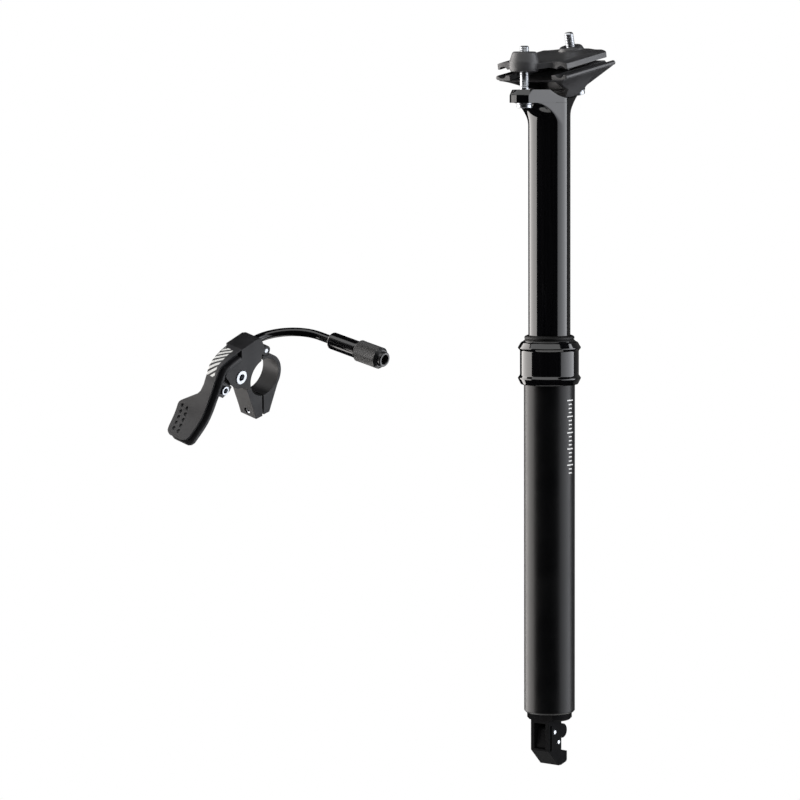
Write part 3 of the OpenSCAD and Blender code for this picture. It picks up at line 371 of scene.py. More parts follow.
def mesh_of(name, shells, sharp_deg=SHARP_DEG):
    """Joins shells into one mesh: doubles merged so that seams and poles close, faces turned outwards, and
    edges sharper than an angle kept sharp."""
    starts = np.cumsum([0] + [len(spots) for spots, _, _ in shells])
    points = np.concatenate([spots for spots, _, _ in shells]) * MM
    faces = np.concatenate([faces + start for (_, faces, _), start in zip(shells, starts)])
    mesh = bpy.data.meshes.new(name)
    mesh.from_pydata(points.tolist(), [], faces.tolist())
    if any(uv is not None for _, _, uv in shells):
        maps = [np.zeros((len(spots), 2)) if uv is None else np.reshape(uv, (-1, 2))
                for spots, _, uv in shells]
        corner = np.empty(len(mesh.loops), int)
        mesh.loops.foreach_get("vertex_index", corner)
        mesh.uv_layers.new(name="map").data.foreach_set("uv", np.concatenate(maps)[corner].ravel())
    work = bmesh.new()
    work.from_mesh(mesh)
    bmesh.ops.remove_doubles(work, verts=work.verts, dist=MERGE_M)
    bmesh.ops.recalc_face_normals(work, faces=work.faces)
    work.to_mesh(mesh)
    work.free()
    mesh.shade_smooth()
    mesh.set_sharp_from_angle(angle=math.radians(sharp_deg))
    return mesh


def new_object(name, mesh):
    """Puts a mesh in the scene, at the origin."""
    thing = bpy.data.objects.new(name, mesh)
    bpy.context.scene.collection.objects.link(thing)
    return thing


def piece(name, shells, sharp_deg=SHARP_DEG):
    """A new object made of shells."""
    return new_object(name, mesh_of(name, shells, sharp_deg))


def settle(thing, carve=(), join=()):
    """Joins closed shells onto a piece, carves others out of it, and keeps the result as its mesh."""
    for operation, shells in (("UNION", join), ("DIFFERENCE", carve)):
        for shell in shells:
            tool = piece("tool", [shell])
            step = thing.modifiers.new("step", "BOOLEAN")
            step.operation = operation
            step.solver = "EXACT"
            step.object = tool
            graph = bpy.context.evaluated_depsgraph_get()
            result = bpy.data.meshes.new_from_object(thing.evaluated_get(graph))
            thing.modifiers.remove(step)
            thing.data = result
            bpy.data.objects.remove(tool)
    thing.data.shade_smooth()
    thing.data.set_sharp_from_angle(angle=math.radians(SHARP_DEG))


def paint(thing, material):
    """Gives an object one material and no other."""
    thing.data.materials.clear()
    thing.data.materials.append(material)


def dress(thing, body, slot, stands_for, finish_name=None):
    """Gives a piece its finish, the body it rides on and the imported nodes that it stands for."""
    paint(thing, finishes[finish_name or slot])
    shading = thing.modifiers.new("flat_faces", "WEIGHTED_NORMAL")
    shading.keep_sharp = True
    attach(thing, body)
    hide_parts(*stands_for)


# Ways of shaping: lathe, loft and path
EASE_SHARE = 0.45


def rounded(profile, radius, steps=4, closed=True):
    """A profile whose corners are eased: each corner becomes a short parabola between points on its two
    sides, which take no more than a share of the shorter side."""
    profile = np.asarray(profile, float)
    to_before = np.roll(profile, 1, axis=0) - profile
    to_after = np.roll(profile, -1, axis=0) - profile
    length_before = np.linalg.norm(to_before, axis=1, keepdims=True)
    length_after = np.linalg.norm(to_after, axis=1, keepdims=True)
    reach = np.minimum(radius, EASE_SHARE * np.minimum(length_before, length_after))
    start = profile + to_before / length_before * reach
    end = profile + to_after / length_after * reach
    t = np.linspace(0, 1, steps + 1)[None, :, None]
    bend = (1 - t) ** 2 * start[:, None] + 2 * t * (1 - t) * profile[:, None] + t ** 2 * end[:, None]
    if closed:
        return bend.reshape(-1, 2)
    return np.concatenate([profile[:1], bend[1:-1].reshape(-1, 2), profile[-1:]])


def turned(profile, segments=128, closed=True, ripple=None):
    """A lathe shape: (r cos a, r sin a, z) for each point (r, z) of the profile. Ripple scales r by angle
    and height."""
    profile = np.asarray(profile, float)
    angle = np.arange(segments) * 2 * np.pi / segments
    radius = np.repeat(profile[:, :1], segments, axis=1)
    if ripple is not None:
        radius = radius * ripple(angle[None, :], profile[:, 1:])
    height = np.repeat(profile[:, 1:], segments, axis=1)
    return grid(np.stack([radius * np.cos(angle), radius * np.sin(angle), height], -1), wrap_rows=closed)


def rod(radius, low, high, segments=48):
    """A plain round bar along Z: a lathe shape of a rectangle."""
    return turned([(0, low), (radius, low), (radius, high), (0, high)], segments, closed=False)


def block(low, high):
    """A plain box between two corners, to carve with."""
    low, high = np.array(low, float), np.array(high, float)
    share = np.array([(x, y, z) for x in (0, 1) for y in (0, 1) for z in (0, 1)])
    faces = np.array([(0, 1, 3, 2), (4, 6, 7, 5), (0, 4, 5, 1), (2, 3, 7, 6), (0, 2, 6, 4), (1, 5, 7, 3)])
    return low + share * (high - low), faces, None


def plate(outline, low, high):
    """A flat plate of an outline in (x, z), from one width to another along Y."""
    outline = np.asarray(outline, float)
    middle = np.broadcast_to(outline.mean(axis=0), outline.shape)
    rows = [(middle, low), (outline, low), (outline, high), (middle, high)]
    return grid(np.stack([np.stack([p[:, 0], np.full(len(p), y), p[:, 1]], -1) for p, y in rows]))


def ring_of(half_long, half_high, radius, steps=5):
    """A rounded rectangle about the origin: each corner is a quarter circle set in from a sharp one. With
    no size it gives the corners' own offsets from sharp ones."""
    turn = np.radians(np.concatenate([np.linspace(0, 90, steps) + 90 * k for k in range(4)]))
    side = np.repeat([(1, 1), (-1, 1), (-1, -1), (1, -1)], steps, axis=0)
    corner = radius * np.stack([np.cos(turn), np.sin(turn)], -1)
    return side * (half_long - radius, half_high - radius) + corner


def closed_ends(low, high, rows, ease, size):
    """Places along a piece that is carried from low to high, and the size of its outline at each: nothing
    at both ends, nearly full beside them, and full between."""
    places = np.concatenate([[low, low], np.linspace(low + ease, high - ease, rows), [high, high]])
    sizes = np.concatenate([[0, size], np.ones(rows), [size, 0]])
    return places, sizes


def capped(rings):
    """Rings of points closed at both ends: the first and last ring again, drawn in to their middles."""
    rings = rings[[0, *range(len(rings)), -1]]
    rings[0] = rings[0].mean(axis=0)
    rings[-1] = rings[-1].mean(axis=0)
    return rings


def left_normals(line):
    """Unit normals on the left of a flat line of points: its direction, turned by a quarter."""
    ahead = np.gradient(line, axis=0)
    ahead = ahead / np.linalg.norm(ahead, axis=1, keepdims=True)
    return np.stack([-ahead[:, 1], ahead[:, 0]], -1)


def smooth_line(points, steps):
    """A curve through points: cubic pieces whose tangent at each point runs along its two neighbours."""
    points = np.asarray(points, float)
    ahead = np.gradient(points, axis=0)
    t = np.linspace(0, 1, steps, endpoint=False)[None, :, None]
    start, end = points[:-1, None], points[1:, None]
    leave, arrive = ahead[:-1, None], ahead[1:, None]
    line = ((2 * t ** 3 - 3 * t ** 2 + 1) * start + (t ** 3 - 2 * t ** 2 + t) * leave
            + (3 * t ** 2 - 2 * t ** 3) * end + (t ** 3 - t ** 2) * arrive)
    return np.concatenate([line.reshape(-1, points.shape[1]), points[-1:]])


def smooth_step(low, high, value):
    """0 below low, 1 above high, and an even S between."""
    share = np.clip((value - low) / (high - low), 0, 1)
    return share * share * (3 - 2 * share)


def turn_x(degrees):
    """Matrix of a turn about X."""
    c, s = math.cos(math.radians(degrees)), math.sin(math.radians(degrees))
    return np.array([[1, 0, 0], [0, c, -s], [0, s, c]])


def turn_y(degrees):
    """Matrix of a turn about Y."""
    c, s = math.cos(math.radians(degrees)), math.sin(math.radians(degrees))
    return np.array([[c, 0, s], [0, 1, 0], [-s, 0, c]])


# Outer tube, collar and wiper seal
TUBE_SEGMENTS = 160
TUBE_EASE = 0.3
COLLAR_WAIST_R = 18.2
COLLAR_RIM_R = 17.5
COLLAR_EASE = 0.55
SEAL_FIT = 0.1
SEAL_LIP_R = POST_R + 0.3
SEAL_EASE = 0.3


def make_outer_tube():
    """The plain tube, a lathe shape, bevelled at its foot and necked inside the collar."""
    bore = TUBE_R - TUBE_WALL
    profile = [(bore, TUBE_LOW[2]), (TUBE_R - TUBE_BEVEL, TUBE_LOW[2]), (TUBE_R, TUBE_LOW[2] + TUBE_BEVEL),
               (TUBE_R, 0), (TUBE_NECK_R, 0), (TUBE_NECK_R, TUBE_HIGH[2]), (bore, TUBE_HIGH[2])]
    tube = piece("outer_tube_skin", [turned(rounded(profile, TUBE_EASE), TUBE_SEGMENTS)])
    dress(tube, "outer_post", "satin_black_anodised", ["outer_tube"], "printed_tube")


def make_collar():
    """The screwed collar, a lathe shape: a waist between two beads, each a low peak with sloping sides."""
    seal_r = SEAL_HIGH[0] + SEAL_FIT
    profile = [(TUBE_NECK_R, 0), (COLLAR_R - 2.0, 0), (COLLAR_R - 1.5, 0.9), (COLLAR_R, 4.0),
               (COLLAR_WAIST_R, 5.8), (COLLAR_WAIST_R, COLLAR_H - 6.0), (COLLAR_R, COLLAR_H - 4.4),
               (COLLAR_RIM_R, COLLAR_H - 0.8), (COLLAR_RIM_R - 1.1, COLLAR_H - 0.6),
               (COLLAR_RIM_R - 1.4, COLLAR_H), (seal_r, COLLAR_H), (seal_r, SEAL_LOW[2]),
               (POST_R + 1, SEAL_LOW[2]), (POST_R + 1, TUBE_HIGH[2]), (TUBE_NECK_R, TUBE_HIGH[2])]
    collar = piece("seal_collar_skin", [turned(rounded(profile, COLLAR_EASE), TUBE_SEGMENTS)])
    dress(collar, "outer_post", "gloss_black_anodised", ["seal_collar"])


def make_seal():
    """The wiper seal, a lathe shape: a rubber ring, grooved under its lip, which thins to the post."""
    top = SEAL_HIGH[2]
    rim = SEAL_HIGH[0]
    lip = SEAL_LIP_R
    profile = [(lip + 0.6, SEAL_LOW[2]), (rim, SEAL_LOW[2]), (rim, COLLAR_H + 0.5),
               (rim - 0.7, COLLAR_H + 0.9), (rim - 0.1, COLLAR_H + 1.3), (rim - 0.1, top - 1.1),
               (rim - 0.6, top - 0.5), (lip + 0.6, top), (lip, top), (lip, top - 1.2), (lip + 0.6, top - 2)]
    seal = piece("wiper_seal_skin", [turned(rounded(profile, SEAL_EASE))])
    dress(seal, "outer_post", "seal_rubber", ["wiper_seal"])


# Stanchion with its forged head
LUG_CHAMFER = 5.3
LUG_HALF = 7.3
LUG_BEVEL = 3.2
LUG_SLOPE = 1.7
LUG_H = 8.0
FRONT_END = POST_HIGH[0]
REAR_END = -POST_LOW[0]
FRONT_SCOOP_R = 14.0
REAR_SCOOP_R = 16.0
REAR_RISE = 6.0
FRONT_LUG_Z = NECK_Z + FRONT_SCOOP_R
REAR_LUG_Z = NECK_Z + REAR_RISE + REAR_SCOOP_R
BORE_ROOF = 8.0
POST_FOOT_BEVEL = 0.4
POST_SEGMENTS = 288
SCOOP_ROWS = 24
RIM_EASE = 0.15
RIM_SHARES = (0, 0.04, 0.5, 0.96, 1)
TOP_SHARES = np.concatenate([np.linspace(0.99, 0.6, 26), np.linspace(0.56, 0, 14)])
LEAST_COS = 0.05
BOLT_HOLE_R = 3.2
BOLT_HOLE_REACH = 26.0
SPOT_FACE_R = 5.7
SPOT_FACE_REACH = 12.0


def arm_radius(off, reach, end):
    """Outline of an arm in polar form, off being the angle from the arm's own direction. The radius is the
    least of the scoop's reach at this height and three straight sides: the lug's end, its chamfer, and the
    side that leaves the stanchion as a tangent."""
    corner = end - LUG_CHAMFER
    turn = np.arctan2(LUG_HALF, corner) + np.arccos(POST_R / np.hypot(corner, LUG_HALF))
    tip = end / np.maximum(np.cos(off), LEAST_COS)
    chamfer = (end + LUG_HALF - LUG_CHAMFER) / np.maximum(np.cos(off) + np.sin(off), LEAST_COS)
    side = POST_R / np.maximum(np.cos(off - turn), LEAST_COS)
    radius = np.minimum.reduce([reach + 0 * off, tip, chamfer, side])
    return np.where(off > turn, POST_R, np.maximum(POST_R, radius))


def head_top(x, y, front):
    """Height of the head's top: the round seat of the cradle, or a lug's flat top and its bevelled end."""
    top = np.where(front, FRONT_LUG_Z, REAR_LUG_Z) + LUG_H
    reach = np.where(front, FRONT_END, REAR_END)
    seat = SEAT_Z - np.sqrt(np.maximum(SEAT_R ** 2 - (x - SEAT_X) ** 2, 0))
    low_edge = top - LUG_BEVEL
    end = low_edge + LUG_SLOPE * (reach - np.abs(x))
    chamfer = low_edge + LUG_SLOPE * (reach + LUG_HALF - LUG_CHAMFER - np.abs(x) - np.abs(y)) / math.sqrt(2)
    return np.minimum.reduce([seat, top, end, chamfer])


def make_stanchion():
    """One forging, as rows of a polar outline: down the bore from its roof, round the foot, up the plain
    tube, out over the quarter-circle scoops to the lugs, then in across the top."""
    corners = [math.atan2(LUG_HALF - LUG_CHAMFER, FRONT_END), math.atan2(LUG_HALF, FRONT_END - LUG_CHAMFER),
               math.pi - math.atan2(LUG_HALF - LUG_CHAMFER, REAR_END),
               math.pi - math.atan2(LUG_HALF, REAR_END - LUG_CHAMFER)]
    even = np.linspace(-np.pi, np.pi, POST_SEGMENTS, endpoint=False)
    angle = np.sort(np.concatenate([even, corners, np.negative(corners)]))[None, :]
    front = np.cos(angle) > 0
    off = np.where(front, np.abs(angle), np.pi - np.abs(angle))
    end = np.where(front, FRONT_END, REAR_END)
    rim = arm_radius(off, 2 * end, end)
    rim_top = head_top(rim * np.cos(angle), rim * np.sin(angle), front)
    plain = [(0, NECK_Z - BORE_ROOF), (POST_BORE_R, NECK_Z - BORE_ROOF), (POST_BORE_R, POST_LOW[2]),
             (POST_R - POST_FOOT_BEVEL, POST_LOW[2]), (POST_R, POST_LOW[2] + POST_FOOT_BEVEL)]
    radius = [np.full_like(angle, r) for r, z in plain]
    height = [np.full_like(angle, z) for r, z in plain]
    scoop_r = np.where(front, FRONT_SCOOP_R, REAR_SCOOP_R)
    scoop_z = np.where(front, NECK_Z, NECK_Z + REAR_RISE)
    for turn in np.linspace(0, np.pi / 2, SCOOP_ROWS):
        reach = POST_R + scoop_r * (1 - math.cos(turn))
        radius.append(arm_radius(off, reach, end))
        height.append(np.minimum(scoop_z + scoop_r * math.sin(turn), rim_top))
    for share in RIM_SHARES:
        radius.append(rim - (RIM_EASE if share in (0, 1) else 0))
        height.append(np.minimum((scoop_z + scoop_r) * (1 - share) + rim_top * share, rim_top))
    for share in TOP_SHARES:
        radius.append(rim * share)
        height.append(head_top(rim * share * np.cos(angle), rim * share * np.sin(angle), front))
    radius = np.concatenate(radius)
    height = np.concatenate(height)
    points = np.stack([radius * np.cos(angle), radius * np.sin(angle), height], -1)
    post = piece("stanchion_skin", [grid(points)])
    hole = rod(BOLT_HOLE_R, -BOLT_HOLE_REACH, BOLT_HOLE_REACH)
    spot_face = rod(SPOT_FACE_R, -SPOT_FACE_REACH, 0)
    settle(post, carve=[on_bolt(shell) for on_bolt in (on_front_bolt, on_rear_bolt)
                        for shell in (hole, spot_face)])
    dress(post, "inner_post", "gloss_black_anodised", ["stanchion"])


def on_front_bolt(shell):
    """Sets a shell in the front bolt's frame: Z is the bolt's axis, from the lug's underside up."""
    return moved(shell, to=(FRONT_BOLT_X, 0, FRONT_LUG_Z))


def on_rear_bolt(shell):
    """Sets a shell in the rear bolt's frame: Z is the bolt's leaning axis, from the lug's underside up."""
    turn = turn_y(REAR_BOLT_LEAN)
    middle = np.array([REAR_BOLT_X, 0, REAR_LUG_Z + LUG_H / 2])
    return moved(shell, turn, middle - turn @ np.array([0, 0, LUG_H / 2]))


def on_rails(shell):
    """Sets a shell in the clamp's frame: X runs along the saddle rails, and the origin is between them."""
    return moved(shell, turn_y(CLAMP_PITCH), (SEAT_X, 0, RAIL_Z))


# Clamp bolts
THREAD_PITCH = 1.0
THREAD_DEPTH = 0.22
THREAD_FROM = 9.0
THREAD_ROWS = 6
BOLT_SEGMENTS = 40
BOLT_HEAD_R = 4.7
BOLT_HEAD_H = 2.4
BOLT_EASE = 0.5
BOLT_TIP = 0.8
SOCKET_R = 2.3
SOCKET_REACH = (-5.0, -1.5)
WASHER_T = 0.8
WASHER_R = 5.0
WASHER_EASE = 0.2
FRONT_SHANK = 34.5
REAR_SHANK = 36.0


def clamp_bolt(shank):
    """A bolt standing on its head, a lathe shape. Its thread cuts the radius by a triangle wave of the
    height less the pitch times the turns."""
    low = -WASHER_T - BOLT_HEAD_H
    head = [(0, low), (BOLT_HEAD_R, low), (BOLT_HEAD_R, -WASHER_T), (BOLT_R, -WASHER_T)]
    rows = np.arange(-WASHER_T + 0.1, shank - BOLT_TIP, THREAD_PITCH / THREAD_ROWS)
    stem = np.stack([np.full_like(rows, BOLT_R), rows], -1)
    tip = [(BOLT_R - 0.1, shank - 0.7), (BOLT_R - BOLT_TIP, shank), (BOLT_R - 1.1, shank), (0, shank)]

    def thread(angle, height):
        """Share of the radius that is left by the thread."""
        wave = (height / THREAD_PITCH - angle / (2 * np.pi)) % 1.0
        cut = THREAD_DEPTH / BOLT_R * (1 - np.abs(2 * wave - 1))
        inside = (height > THREAD_FROM) & (height < shank - 0.75)
        return 1 - np.where(inside, cut, 0)

    profile = np.concatenate([rounded(head, BOLT_EASE, closed=False), stem, tip])
    return turned(profile, BOLT_SEGMENTS, closed=False, ripple=thread)


def make_bolts():
    """Both clamp bolts with a hexagon socket in the head, and the washers under them."""
    socket = rod(SOCKET_R, *SOCKET_REACH, segments=6)
    ring = [(BOLT_R, -WASHER_T), (WASHER_R, -WASHER_T), (WASHER_R, 0), (BOLT_R, 0)]
    washer = turned(rounded(ring, WASHER_EASE), 64)
    for end, shank, on_bolt in (("front", FRONT_SHANK, on_front_bolt), ("rear", REAR_SHANK, on_rear_bolt)):
        bolt = piece(end + "_bolt_threaded", [on_bolt(clamp_bolt(shank))])
        settle(bolt, carve=[on_bolt(socket)])
        dress(bolt, "inner_post", "zinc_steel", [end + "_clamp_bolt"])
    washers = piece("bolt_washers", [on_front_bolt(washer), on_rear_bolt(washer)])
    dress(washers, "inner_post", "zinc_steel", ["clamp_bolt_washers"])


# Upper yoke
YOKE_HALF = 26.8
YOKE_FRONT = 21.8
YOKE_REAR = -21.4
YOKE_TOP = 6.3
YOKE_CROWN = 1.3
YOKE_EASE = 0.4
YOKE_UNDER = 1.6
YOKE_ROWS = 71
YOKE_END = (0.5, 0.96)
YOKE_CORNER = 21.5
FRONT_CORNER_CUT = 0.5
REAR_CORNER_CUT = 1.6
FRONT_SWELL = 8.2
FRONT_SWELL_Y = (6.5, 17.0)
REAR_SWELL = 5.0
REAR_SWELL_Y = (7.0, 20.0)
ARCH_RISE = 1.2
ARCH_Y = (14.0, 19.0)
BOSS_R = 7.5
BOSS_FOOT_R = BOSS_R + 1.9
BOSS_TOP = NECK_Z + 45.0
BOSS_H = 12.4
BOSS_EASE = 0.9
FRONT_BOSS = ((0, 0), (BOSS_FOOT_R - 1.2, 0), (BOSS_FOOT_R, 2.6), (BOSS_FOOT_R, 5.8),
              (BOSS_R, BOSS_H - 0.8), (BOSS_R - 0.8, BOSS_H), (0, BOSS_H))
REAR_BOSS_FROM = 19.5
REAR_BOSS = ((0, 0), (11.5, 0), (10.6, 1.6), (8.6, 4.4), (7.2, 7.2), (6.4, 8.0), (0, 8.0))
SLOT_REACH = (-5.0, 45.0)


def yoke_plate():
    """The yoke's plate: a rounded section from rear to front edge, carried across the rails. Its edges
    swell to the bosses in the middle and round off at the corners, and its top falls towards the rails."""
    across, size = closed_ends(-YOKE_HALF, YOKE_HALF, YOKE_ROWS, *YOKE_END)
    reach = np.abs(across)
    corner = np.maximum(reach - YOKE_CORNER, 0) / (YOKE_HALF - YOKE_CORNER)
    front_swell = FRONT_SWELL * (1 - smooth_step(*FRONT_SWELL_Y, reach))
    rear_swell = REAR_SWELL * (1 - smooth_step(*REAR_SWELL_Y, reach))
    front = YOKE_FRONT + front_swell - FRONT_CORNER_CUT * corner ** 2
    rear = YOKE_REAR - rear_swell + REAR_CORNER_CUT * corner ** 3
    top = YOKE_TOP - YOKE_CROWN * corner ** 1.5
    under = YOKE_UNDER + ARCH_RISE * (1 - smooth_step(*ARCH_Y, reach))
    half = np.stack([(front - rear) / 2, (top - under) / 2], -1)[:, None]
    middle = np.stack([(front + rear) / 2, (top + under) / 2], -1)[:, None]
    section = ring_of(1, 1, 0) * half + ring_of(0, 0, YOKE_EASE)
    shape = middle + section * size[:, None, None]
    place = np.repeat(across[:, None], shape.shape[1], 1)
    points = np.stack([shape[..., 0], place, shape[..., 1]], -1)
    return on_rails(grid(points))


def slot_cut(half_long, radius, low, high):
    """A long hole: two half circles joined by straight sides, along X."""
    turn = np.linspace(0, 2 * np.pi, 48, endpoint=False)
    x = radius * np.cos(turn) + half_long * np.sign(np.cos(turn) + 1e-9)
    y = radius * np.sin(turn)
    rows = [(0, low), (1, low), (1, high), (0, high)]
    return grid(np.stack([np.stack([x * s, y * s, np.full_like(x, z)], -1) for s, z in rows]))


def boss(profile, height):
    """A turned boss with eased corners, standing at a height."""
    return moved(turned(rounded(profile, BOSS_EASE, closed=False), 96, closed=False), to=(0, 0, height))


def make_yoke():
    """Plate and two turned bosses in one piece, cut by the rails and by the long bolt holes."""
    yoke = piece("upper_yoke_forging", [yoke_plate()])
    slot = slot_cut(BOLT_SLOT / 2, BOLT_HOLE_R, *SLOT_REACH)
    settle(yoke,
           join=[on_front_bolt(boss(FRONT_BOSS, BOSS_TOP - BOSS_H - FRONT_LUG_Z)),
                 on_rear_bolt(boss(REAR_BOSS, REAR_BOSS_FROM))],
           carve=[*rail_bars(), on_front_bolt(slot), on_rear_bolt(slot)])
    dress(yoke, "rail_clamp", "forged_black", ["upper_yoke"])


# How far a carving shape runs out past the clamp
CARVE_FAR = 60.0


def rail_bars():
    """Two round bars where the saddle's rails go, to carve with."""
    bar = moved(rod(RAIL_R, -CARVE_FAR, CARVE_FAR), turn_y(90))
    return [on_rails(moved(bar, to=(0, y, 0))) for y in (-RAIL_Y, RAIL_Y)]


# Lower cradle
CRADLE_FRONT = 23.9
CRADLE_REAR = -28.1
CRADLE_HALF = 27.0
CRADLE_ROWS = 64
CRADLE_END = (0.4, 0.97)
LIP_TOP = -1.6
LIP_H = 2.9
# One lip's outline, from its top round its outer edge to the small groove under it
LIP_EDGE = ((-1.5, 0), (-0.7, -0.25), (-0.15, -0.8), (0, -1.5), (-0.2, -2.2), (-0.8, -2.7),
            (-1.8, -LIP_H + 0.1), (-2.4, -LIP_H + 0.2), (-2.2, -LIP_H - 0.2))
FOOT_HALF = 11.0
FOOT_FROM = -17.0
FOOT_TO = 11.0
FOOT_R = 30.0
FOOT_EASE = 0.6
FLANK_BOW = 1.1
FLANK_DROP = 0.3
FLANK_SHARES = np.array([0.03, 0.25, 0.5, 0.75, 0.97])
FRONT_SILL = -6.2
FRONT_SILL_HALF = 17.0
REAR_SILL = LIP_TOP - LIP_H - 0.9
REAR_SILL_HALF = CRADLE_HALF - 3.2
TUB_HALF = 16.0
TUB_FROM = -15.6
TUB_FLOOR = -4.9
POCKET_HALF = (10.5, 16.0)
POCKET_FLOOR = -14.4
POCKET_TOP = FRONT_SILL - 0.1
FRONT_CUT = ((24.6, -4.4), (6.0, -13.7), (6.0, -25.0), (24.6, -25.0))
BOLT_WAY_HALF = 4.1
BOLT_WAY_TO = SEAT_X - 12.0


def cradle_body():
    """The boat-shaped cradle: at each place along the rails a closed outline of lip, flank and bottom. The
    bottom is the round foot's arc, and straight lines from the foot's ends to the lips' ends."""
    along, size = closed_ends(CRADLE_REAR, CRADLE_FRONT, CRADLE_ROWS, *CRADLE_END)
    pitch = math.radians(CLAMP_PITCH)
    rise = SEAT_Z - RAIL_Z
    centre = np.array([-rise * math.sin(pitch), rise * math.cos(pitch)])
    inside = np.clip(along, FOOT_FROM, FOOT_TO)
    arc = centre[1] - np.sqrt(FOOT_R ** 2 - (inside - centre[0]) ** 2)
    past = np.where(along > FOOT_TO, (along - FOOT_TO) / (CRADLE_FRONT - FOOT_TO), 0)
    past = np.where(along < FOOT_FROM, (FOOT_FROM - along) / (FOOT_FROM - CRADLE_REAR), past)
    front = along > 0
    bottom = arc + (np.where(front, FRONT_SILL, REAR_SILL) - arc) * past
    foot = FOOT_HALF + (np.where(front, FRONT_SILL_HALF, REAR_SILL_HALF) - FOOT_HALF) * past
    lip = np.concatenate([[(0, LIP_TOP)], np.array(LIP_EDGE) + (CRADLE_HALF, LIP_TOP)])
    share = FLANK_SHARES
    bow = FLANK_BOW * 4 * np.multiply.outer(1 - past, share * (1 - share))
    flank_half = lip[-1, 0] * (1 - share) + np.multiply.outer(foot, share) - bow
    flank_low = lip[-1, 1] * (1 - share) + np.multiply.outer(bottom, share) + bow - FLANK_DROP * (1 - share)
    half = np.concatenate([
        np.broadcast_to(lip, (len(along), *lip.shape)), np.stack([flank_half, flank_low], -1),
        np.stack([foot - FOOT_EASE, bottom], -1)[:, None],
        np.stack([np.zeros_like(along), bottom], -1)[:, None]], axis=1)
    other = half[:, -2:0:-1] * (-1, 1)
    outline = np.concatenate([half, other], axis=1)
    middle = outline.mean(axis=1, keepdims=True)
    outline = middle + (outline - middle) * size[:, None, None]
    place = np.repeat(along[:, None], outline.shape[1], 1)
    points = np.stack([place, outline[..., 0], outline[..., 1]], -1)
    return on_rails(grid(points))


def cradle_cuts():
    """What is carved out of the cradle: the bolt's way, rails, tub, the pocket under the sill, which widens
    upwards, and its open front."""
    pocket, faces, _ = block((0, -1, POCKET_FLOOR), (CARVE_FAR, 1, POCKET_TOP))
    pocket[:, 1] *= np.where(pocket[:, 2] > POCKET_FLOOR, POCKET_HALF[1], POCKET_HALF[0])
    bolt_way = block((-CARVE_FAR, -BOLT_WAY_HALF, NECK_Z), (BOLT_WAY_TO, BOLT_WAY_HALF, NECK_Z + CARVE_FAR))
    tub = block((TUB_FROM, -TUB_HALF, TUB_FLOOR), (CARVE_FAR, TUB_HALF, CARVE_FAR))
    open_front = plate(FRONT_CUT, -CARVE_FAR, CARVE_FAR)
    return [bolt_way, *rail_bars(), on_rails(tub), on_rails((pocket, faces, None)), on_rails(open_front)]


def make_cradle():
    """The cradle with all that is carved out of it."""
    cradle = piece("lower_cradle_forging", [cradle_body()])
    settle(cradle, carve=cradle_cuts())
    dress(cradle, "rail_clamp", "forged_black", ["lower_cradle"])


# The remote's frame and its thumb lever
BAR_AT = np.array([264.0, 0.0, 22.0])
BAR_TURN = turn_x(-16.0) @ turn_y(17.6)
CLAMP_W = 12.0
PIVOT_AT = np.array([18.4, 7.0])
BACK_AT = np.array([19.0, 4.5])
THUMB_POINTS = ((17.8, 24.2), (26.0, 22.0), (33.0, 18.4), (36.6, 11.6), (39.9, 2.6), (46.2, -9.2),
                (57.9, -19.3))
THUMB_STEPS = 16
LAYER_T = 0.9
LAYER_LAP = 0.3
LAYER_EASE = 0.5
GROOVE_T = 2.9
GROOVE_IN = 2.2
GROOVE_EASE = 0.2
GROOVE_SKIP = 2
FLANGE_T = 2.4
FLANGE_OUT = 1.0
FLANGE_IN = 0.4
FLANGE_EASE = 0.6
FLANGE_SKIP = 4
HUB_R = 7.0
HUB_BORE_R = 3.5
SCREW_AT = np.array([29.2, 2.2])
SCREW_R = 2.5
WEB_R = 15.4
WEB_ARC = (53.0, -16.0)
WEB_FOOT = ((1.0, -4.6), (-4.4, -2.4))
WEB_Y = (-9.1, -2.9)
DIMPLE = ((0, -0.7), (0.8, -0.62), (1.1, -0.3), (1.15, 0.3), (1.15, 2), (0, 2))
DIMPLE_ROWS = 5
DIMPLE_PITCH = 3.37
DIMPLE_DRIFT = 0.7
DIMPLE_STARTS = ((44.8, -19.8), (45.3, -15.9))
# Height in the remote's frame against the lever's edge nearest the post, and against its far edge
NEAR_EDGE = ((-19.3, -7.4), (-18.7, -5.4), (-17.4, -4.3), (-9.0, -3.7), (0.0, -3.0), (10.0, -1.8),
             (19.0, -0.9), (24.2, 0.0))
FAR_EDGE = ((-19.3, -17.6), (-18.9, -19.2), (-18.0, -20.6), (-16.5, -21.4), (-10.2, -23.2), (-7.4, -23.8),
            (-6.2, -23.4), (-5.2, -22.4), (1.2, -12.5), (3.0, -11.0), (7.3, -9.8), (12.0, -9.4),
            (19.2, -9.4), (24.2, -10.4))


def on_bar(shell):
    """Sets a shell in the remote's frame."""
    return moved(shell, BAR_TURN, BAR_AT)


def across_bar(shell, at):
    """Lays a shell that was made along Z along the handlebar, with its axis through a point (x, z)."""
    return on_bar(moved(shell, turn_x(-90), (at[0], 0, at[1])))


def thumb_line():
    """The lever's thumb face seen along the handlebar, as a smooth S: its points, its outward normals
    and the length run along it."""
    line = smooth_line(THUMB_POINTS, THUMB_STEPS)
    length = np.concatenate([[0], np.cumsum(np.linalg.norm(np.diff(line, axis=0), axis=1))])
    return line, left_normals(line), length


